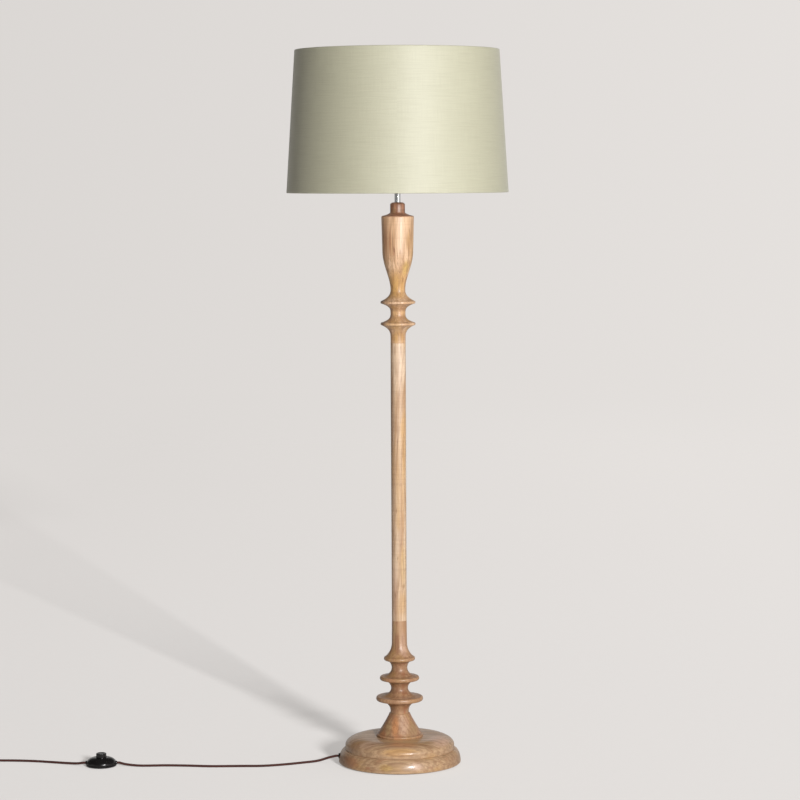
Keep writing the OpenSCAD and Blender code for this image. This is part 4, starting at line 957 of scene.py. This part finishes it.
# %% Clamp ring
CLAMP_NOTCHES = 24
clamp_steps = CLAMP_NOTCHES * 8
clamp_section = [
    (19.9, 1241.2), (20.2, 1241), (23.5, 1241), (24, 1241.5), (24, 1248.3), (23.3, 1249), (20.2, 1249),
    (19.9, 1248.8),
]
clamp = turn_piece("shade_clamp_ring", clamp_section, bakelite, steps=clamp_steps)
for vert in clamp.data.vertices:
    radius = math.hypot(vert.co.x, vert.co.y)
    if radius > 0.0233:
        step_at = math.atan2(vert.co.y, vert.co.x) / (2 * math.pi) * CLAMP_NOTCHES
        share = abs(step_at - round(step_at))
        depth = 0.0009 * max(0.0, 1 - (share / 0.26) ** 2)
        vert.co.xy *= (radius - depth) / radius
settle(clamp, "clamp_ring", "holder", "clamp_ring")
print("clamp ring notches:", CLAMP_NOTCHES)

# %% [markdown]
# ## Bulb
# The lamp takes a screw bulb, of which the picture shows nothing, so it is an ordinary clear one
# with four straight filaments. The glass is a thin closed shell with an outer and an inner skin,
# because a ray bends at both. Its cap is a thin metal shell rolled into a round thread.

# %% Bulb
BULB_TOP, GLASS_R, GLASS_T, NECK_Z = 1341.7, 30, 0.9, 1263.1
GLASS_CENTRE = BULB_TOP - GLASS_R


def glass_line(inset):
    """Section of the glass at a distance inside its outer face, from the neck to the top."""
    neck = 12.6 - inset
    join = math.radians(-40)
    join_r, join_z = (GLASS_R - inset) * math.cos(join), GLASS_CENTRE + (GLASS_R - inset) * math.sin(join)
    return ([(neck, NECK_Z - 8)] + swell(neck, NECK_Z + 3, join_r, join_z, 1, 20)
            + arc(0, GLASS_CENTRE, GLASS_R - inset, GLASS_R - inset, -40, 90, 30)[1:])


def clear_glass(name, tone, film_size, rough, wobble):
    f = Finish(name)
    return f.shader(tone, rough + f.grain(film_size, 2) * wobble, Transmission_Weight=1.0, IOR=1.46)


glass = clear_glass("bulb_glass_finish", colour(0.97, 0.985, 0.98), 60, 0.015, 0.02)
outer_line, inner_line = glass_line(0), glass_line(GLASS_T)
bulb_glass = turn_piece("bulb_envelope", outer_line + inner_line[::-1], glass, steps=96, closed=True)
settle(bulb_glass, "bulb", "glass", "bulb_glass")

cap_line = [(12.0, 1243.1), (12.6, 1243.3)]
for i in range(5):
    z = 1244.4 + 3.1 * i
    cap_line += [(12.75 + 0.45 * math.sin(2 * math.pi * k / 10), z + 3.1 * k / 10) for k in range(10)]
cap_line += [(12.75, 1259.9), (13.0, 1260.6), (13.1, 1262.8), (12.8, 1263.1)]
inner_cap = [(r - 0.35, z) for r, z in cap_line[2:]]
bulb_cap = turn_piece("bulb_screw_cap", cap_line + inner_cap[::-1] + [(11.6, 1243.5)], nickel, steps=96)
settle(bulb_cap, "bulb", "bulb_metal", "bulb_cap")

filament = Finish("filament_coat")
grit = filament.noise(filament.place((1500, 1500, 500)), 2)
filament_tone = filament.mix(grit, colour(0.85, 0.56, 0.12), colour(0.92, 0.72, 0.28))
filament = filament.shader(filament_tone, 0.6, grit, 0.0001)
give_finish("bulb_filament", filament)
give_finish("bulb_stem", clear_glass("stem_glass", colour(0.95, 0.97, 0.96), 90, 0.03, 0.03))

# %% [markdown]
# ## Foot switch
# The switch is a round black dome that lies on the floor, with the flex running in at one side
# and out at the other. A shallow groove runs round its skirt, the dome is smooth and glossy, and
# the button in the middle has a rounded rim and a slightly dished top. The two bosses for the flex
# are short tapered sleeves, made the same way and joined with the dome. The return spring under
# the button stands on the base plate and is pressed shorter by the button; here it is swept as a
# coil of wire at its rest length.

# %% Switch cover
switch_gloss = moulded("switch_gloss_black", colour(0.008, 0.007, 0.007), 0.20, 500, 0.04)
cover_section = (
    [(29.5, 1), (31.1, 1), (31.5, 1.4), (31.5, 3.9), (31.25, 4.2), (30.8, 4.3), (30.6, 4.55), (30.75, 4.9)]
    + [(31.3, 5.3)] + arc(12, 6, 19.5, 13, 2, 88, 26)[:-1]
    + [(12.4, 19.0), (11.4, 18.8), (11, 18.2), (11, 17.1)] + arc(12, 6, 17.5, 11, 88, 0, 16) + [(29.5, 5)]
)
cover = turn_piece("switch_dome", cover_section, switch_gloss, steps=128, centre=SWITCH)
boss_section = [
    (2.55, 20), (4.4, 20), (4.4, 28), (4.2, 31), (3.9, 32.4), (3.5, 33), (2.8, 33), (2.55, 32.8),
]
bosses = []
for side in (-1, 1):
    boss = turn_piece("switch_boss", boss_section, switch_gloss, steps=40)
    put_first(boss)
    boss.rotation_euler.y = side * math.pi / 2
    boss.location = SWITCH + Vector((0, 0, SWITCH_FLEX_Z))
    bpy.ops.object.transform_apply(location=True, rotation=True)
    bosses.append(boss)
bpy.ops.object.select_all(action="DESELECT")
for part in (*bosses, cover):
    part.select_set(True)
bpy.context.view_layer.objects.active = cover
bpy.ops.object.join()
settle(cover, "lamp", "switch_plastic", "switch_cover")

button_section = (
    [(0, 26.5), (4, 26.55), (7.2, 26.9), (8.2, 27.35)] + arc(9.2, 25.9, 1.5, 1.6, 100, 0, 12) + [(10.7, 17.1)]
    + [(12.1, 16.8), (12.1, 15.2), (9.1, 15.2), (9.1, 25.7), (0, 25.7)]
)
button = turn_piece("switch_push_button", button_section, switch_gloss, steps=96, centre=SWITCH, closed=False)
settle(button, "switch_button", "switch_plastic", "switch_button")

# %% Return spring
CURL_R, SPRING_WIRE_R, CURLS, CURL_STEPS = 0.0046, 0.0004, 6, 24
SPRING_LOW, SPRING_HIGH = 0.0044, 0.0251
curl_path = []
for i in range(CURLS * CURL_STEPS + 1):
    angle = 2 * math.pi * i / CURL_STEPS
    rise = (SPRING_HIGH - SPRING_LOW) * i / (CURLS * CURL_STEPS)
    curl_path.append(SWITCH + Vector((CURL_R * math.cos(angle), CURL_R * math.sin(angle), SPRING_LOW + rise)))
spring = sweep("switch_return_spring", curl_path, SPRING_WIRE_R, 10)
spring.data.materials.append(steel)
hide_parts("switch_spring")
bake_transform(spring)
print("spring:", CURLS, "curls")

# %% [markdown]
# ## Braid, strap and plug
# The flex has a dark brown textile braid: two sets of threads that run round it in opposite
# directions and pass over and under each other. On the tube's own map that is a product of two
# waves. The unseen length is coiled and held by a woven strap. The plug is a flat two-pin one with
# a grip of fine ridges and a ribbed sleeve that keeps the flex from kinking.

# %% Braided flex
braid = Finish("brown_braid")
run = braid.node("UVMap", {"uv_map": "run"})
along, round_it, _ = braid.split(run)
left = (along * (1 / 0.0042) + round_it * 4) * (2 * math.pi)
right = (along * (1 / 0.0042) - round_it * 4) * (2 * math.pi)
lattice = left.math("SINE", left) * left.math("SINE", right)
fluff = braid.grain(1600, 2)
length_tone = braid.grain(30, 3)
braid_tone = braid.tint(colour(0.035, 0.008, 0.006), colour(0.105, 0.026, 0.018), lattice, -0.5, 0.7, 1)
braid_tone = braid.tint(braid_tone, colour(0.13, 0.043, 0.031), fluff, 0.4, 0.7, 0.35)
braid_tone = braid.tint(braid_tone, colour(0.045, 0.018, 0.013), length_tone, 0.4, 0.7, 0.3)
braid = braid.shader(braid_tone, 0.72 + fluff * 0.15, lattice * 0.7 + fluff * 0.4, 0.0003)
for flex in (flex_near, flex_far):
    flex.data.materials.append(braid)
for node in ("inner_flex", "switch_leads"):
    give_finish(node, moulded(node + "_sheath", colour(0.045, 0.016, 0.011), 0.7, 900, 0.3))

# %% Strap round the coil
TIE_T, TIE_W, TIE_TURN = 0.7, 8, 0.625
coil_mm, pitch_mm, flex_mm = 38.5, 5.6, 2.5
tie_in = coil_mm - pitch_mm * (TIE_TURN + 2) - flex_mm - 0.5
tie_out = coil_mm - pitch_mm * TIE_TURN + flex_mm + 0.3
tie_top = 3.3 + pitch_mm + flex_mm + 0.1


def rounded_loop(x0, x1, y0, y1, corner, steps=8):
    """Points of a rectangle with round corners."""
    loop = []
    for cx, cy, start in ((x1 - corner, y1 - corner, 0), (x0 + corner, y1 - corner, 90),
                          (x0 + corner, y0 + corner, 180), (x1 - corner, y0 + corner, 270)):
        loop += arc(cx, cy, corner, corner, start, start + 90, steps)
    return loop


half_t = TIE_T / 2
strap_line = rounded_loop(tie_in - half_t, tie_out + half_t, half_t, tie_top + half_t, 1 + half_t)
strap = draw_section("coil_strap", strap_line, (0, 0, 0), True)
bpy.ops.mesh.extrude_region_move(TRANSFORM_OT_translate={"value": (0, TIE_W * MM, 0)})
leave_edit(strap)
strap.data.transform(Matrix.Translation((0, -TIE_W * MM / 2, 0)))
strap.data.transform(Matrix.Rotation(math.radians(-90 - 360 * TIE_TURN), 4, "Z"))
strap.data.transform(Matrix.Translation(COIL_CENTRE))
add_thickness(strap, TIE_T * MM)
round_edges(strap, 0.00025, 2, 50, 50)
webbing = Finish("black_webbing")
ribs = webbing.grain(2200, 2)
webbing_tone = webbing.mix(ribs, colour(0.012, 0.012, 0.013), colour(0.05, 0.05, 0.052))
strap.data.materials.append(webbing.shader(webbing_tone, 0.85, ribs, 0.0002))
settle(strap, "lamp", "bush", "coil_tie")

# %% Plug
PLUG_X, PLUG_Y, PLUG_Z = -0.9485, 0.1255, 0.00685
relief_section = [(2.55, 0), (4.9, 0), (5.5, 0.4), (5.6, 1)]
for i in range(6):
    z = 3 + 3.3 * i
    wide = 5.5 - 1.7 * z / 24
    relief_section += [(wide, z), (wide, z + 1.5), (wide - 0.9, z + 1.9), (wide - 0.9, z + 2.9)]
relief_section += [(3.75, 23), (3.6, 23.6), (3.3, 24), (2.55, 24)]
relief = turn_piece("plug_sleeve", relief_section, rubber, steps=48)
put_first(relief)
relief.rotation_euler.x = math.pi / 2
relief.location = (PLUG_X, PLUG_Y, PLUG_Z)
bpy.ops.object.transform_apply(location=True, rotation=True)

plug_outline = [
    (-6, 0), (-7.4, 0.8), (-8.6, 3), (-10.2, 8), (-13.2, 17), (-16.2, 25), (-17.4, 29), (-17.65, 32.5),
    (-17.2, 35), (-15.6, 36),
]
plug_outline += [(-x, y) for x, y in reversed(plug_outline)]
bpy.ops.object.select_all(action="DESELECT")
bpy.ops.mesh.primitive_circle_add(vertices=len(plug_outline), radius=0.01, fill_type="NGON")
plug = bpy.context.object
plug.name = plug.data.name = "plug_shell"
for vert, (x, y) in zip(plug.data.vertices, plug_outline):
    vert.co = Vector((x * MM, y * MM, 0))
bpy.ops.object.mode_set(mode="EDIT")
bpy.ops.mesh.select_all(action="SELECT")
bpy.ops.mesh.extrude_region_move(TRANSFORM_OT_translate={"value": (0, 0, 0.0137)})
leave_edit(plug)
plug.data.transform(Matrix.Translation((PLUG_X, PLUG_Y, 0)))
round_edges(plug, 0.0032, 5, 60, 40)
plug.data.materials.append(moulded("plug_plastic", colour(0.014, 0.014, 0.014), 0.42, 900, 0.2))
settle(relief, "lamp", "bush", "plug_relief")
settle(plug, "lamp", "bush", "plug_body")

settle(flex_near, "lamp", "flex", "flex_to_switch")
settle(flex_far, "lamp", "flex", "flex_to_coil", "flex_coil", "flex_to_plug")

# %% [markdown]
# ## Studio
# The photograph has a pale seamless ground with one soft shadow that runs to the back left, which
# tells where the light stands: 22 degrees to the right of the camera. A softbox stands there, low
# enough to light the wood right under the shade. Polished and oiled parts see a world of their
# own: a bright screen at the right, a dark gap beside the camera, a grey card at the left, and the
# pale backdrop behind the lamp, because chrome shows nothing but its surroundings.

# %% Softboxes
KEY_TURN, KEY_AWAY, KEY_UP, KEY_LEVEL = math.radians(22), 4.5, 1.65, 0.98


def softbox(name, away, up, size, level, aim):
    """A soft lamp that lights a white card at its aim to the given level."""
    data = bpy.data.lights.new(name, "AREA")
    data.shape, data.size, data.size_y = "RECTANGLE", size, size
    strength = level * away**2
    data.energy = strength * math.pi**2
    lamp = bpy.data.objects.new(name, data)
    bpy.context.collection.objects.link(lamp)
    place = Vector((math.sin(KEY_TURN) * away, -math.cos(KEY_TURN) * away, up))
    lamp.matrix_world = Matrix.Translation(place) @ (place - aim).to_track_quat("Z", "Y").to_matrix().to_4x4()
    print(name, round(data.energy), "W")
    return lamp, place, strength


key, _, _ = softbox("softbox", KEY_AWAY, KEY_UP, 0.8, KEY_LEVEL, Vector((0, 0, 0.95)))
ground_lamp, lamp_place, lamp_strength = softbox("ground_softbox", 14, 4.2, 1.7, 2.5, Vector((0, 0, 0)))

# %% [markdown]
# The ground has a softbox of its own in the same direction but far away, so the lamp's shadow
# keeps its strength over the whole picture. Light linking keeps that one off the lamp, and the
# near one off the ground. The camera sees the ground partly as it is lit and partly as a plain
# glow of the backdrop's colour. The glow makes up for what the lamps and the world leave uneven,
# so only the shadow is left. Its share is larger close to the foot, where the shadow would be too
# dark, and it is all there is far away, where the ground fades into the backdrop.

# %% Floor
GROUND = colour(1.0, 0.961, 0.930)
GROUND_LEVEL, GROUND_SLOPE, FLOOR_LIFT = 0.7455, 0.048, 0.008
PAPER, UNSEEN_PAPER, WORLD_ON_GROUND = 0.76, 0.46, 0.352
bpy.ops.object.select_all(action="DESELECT")
bpy.ops.mesh.primitive_circle_add(vertices=96, radius=11, fill_type="NGON", location=(0, 0, 0))
floor = bpy.context.object
floor.name = "studio_floor"
ground = Finish("studio_ground")
seen = ground.node("LightPath", out="Is Camera Ray")
grain = ground.grain(40, 2)
paper = ground.tint(colour(PAPER, 0.737, 0.722), GROUND, grain, 0.3, 0.7, 0.02)
unseen = tuple(UNSEEN_PAPER * c for c in GROUND[:3]) + (1,)
lit = ground.node("BsdfDiffuse", None, {"Color": ground.mix(seen, unseen, paper)})
here = ground.node("TexCoord", out="Object")
side, ahead, _ = ground.split(here)
away = (side * side + ahead * ahead) ** 0.5
reach = ground.node("VectorMath", {"operation": "DISTANCE"}, {0: here, 1: lamp_place}, "Value")
lamp_level = lamp_strength * lamp_place.z / reach**3
level = ground.node("MapRange", None, {"Value": side, "From Min": -1.2, "From Max": 1.2,
                                       "To Min": 1 - GROUND_SLOPE, "To Max": 1 + GROUND_SLOPE})
lit_level = (lamp_level + WORLD_ON_GROUND) * PAPER
NEAR_SHARE, FAR_SHARE, MOST_LIT = 0.48, 0.06, 0.72
share = ground.step(away, 0.3, 1.3, NEAR_SHARE, FAR_SHARE)
for least in (ground.step(away, 3.5, 8.0), 1 - MOST_LIT / lit_level):
    share = share.math("MAXIMUM", share, least)
glow_level = (level * (GROUND_LEVEL + FLOOR_LIFT) - (1 - share) * lit_level) / share
glow = ground.node("Emission", None, {"Color": GROUND, "Strength": glow_level})
both = ground.node("MixShader", None, {0: seen * share, 1: lit, 2: glow})
clear = ground.node("BsdfTransparent")
fading = seen * ground.step(away, 5.0, 10.0)
whole = ground.node("MixShader", None, {0: fading, 1: both, 2: clear})
end = ground.tree.nodes.new("ShaderNodeOutputMaterial")
ground.tree.links.new(whole.socket, end.inputs["Surface"])
floor.data.materials.append(ground.material)
for lamp, state in ((key, "EXCLUDE"), (ground_lamp, "INCLUDE")):
    lit_things = bpy.data.collections.new(lamp.name + "_reaches")
    lit_things.objects.link(floor)
    lit_things.collection_objects[0].light_linking.link_state = state
    lamp.light_linking.receiver_collection = lit_things

# %% World
studio = bpy.data.worlds.new("studio_world")
bpy.context.scene.world = studio
sky = Finish("studio_world", studio)
right, back, up = sky.split(sky.node("TexCoord", out="Generated"))
turn_of = right.math("ARCTAN2", right, back * -1) * (180 / math.pi)
low_band = sky.step(up, 0.45, 0.20)
screen = sky.step(turn_of, 2, 10) * sky.step(turn_of, 78, 62)
card = sky.step(turn_of, -86, -78) * sky.step(turn_of, -44, -54)
right_wall = sky.step(turn_of, 62, 78) * sky.step(turn_of, 150, 135)
behind = sky.step(turn_of.math("ABSOLUTE", turn_of), 135, 155)
mirrored = low_band * (0.08 + screen * 0.90 + card * 0.24 + right_wall * 0.26 + behind * 0.62) + 0.04
from_above, from_right = up.math("MAXIMUM", up, 0.0), right.math("MAXIMUM", right, 0.0)
fill = (0.06 + from_above * 0.38) * (right * 0.5 + 1) + from_right * 0.16
glossy = sky.node("LightPath", out="Is Glossy Ray")
strength = sky.node("Mix", {"data_type": "FLOAT"}, {0: glossy, 2: fill, 3: mirrored})
around = sky.node("Background", None, {"Color": colour(1.0, 0.98, 0.96), "Strength": strength})
seen = sky.node("LightPath", out="Is Camera Ray")
through = sky.node("LightPath", out="Is Transmission Ray")
HALF_VIEW = 0.148
across = right.math("MINIMUM", right.math("MAXIMUM", right, -HALF_VIEW), HALF_VIEW)
backdrop_level = (across * (GROUND_SLOPE / HALF_VIEW) + 1) * GROUND_LEVEL
backdrop = sky.node("Background", None, {"Color": GROUND, "Strength": backdrop_level})
view = sky.node("MixShader", None, {0: seen.math("MAXIMUM", seen, through), 1: around, 2: backdrop})
end = sky.tree.nodes.new("ShaderNodeOutputWorld")
sky.tree.links.new(view.socket, end.inputs["Surface"])

# %% [markdown]
# ## Last update
# The view layer is brought up to date once more.

# %% Update the view layer
bpy.context.view_layer.update()
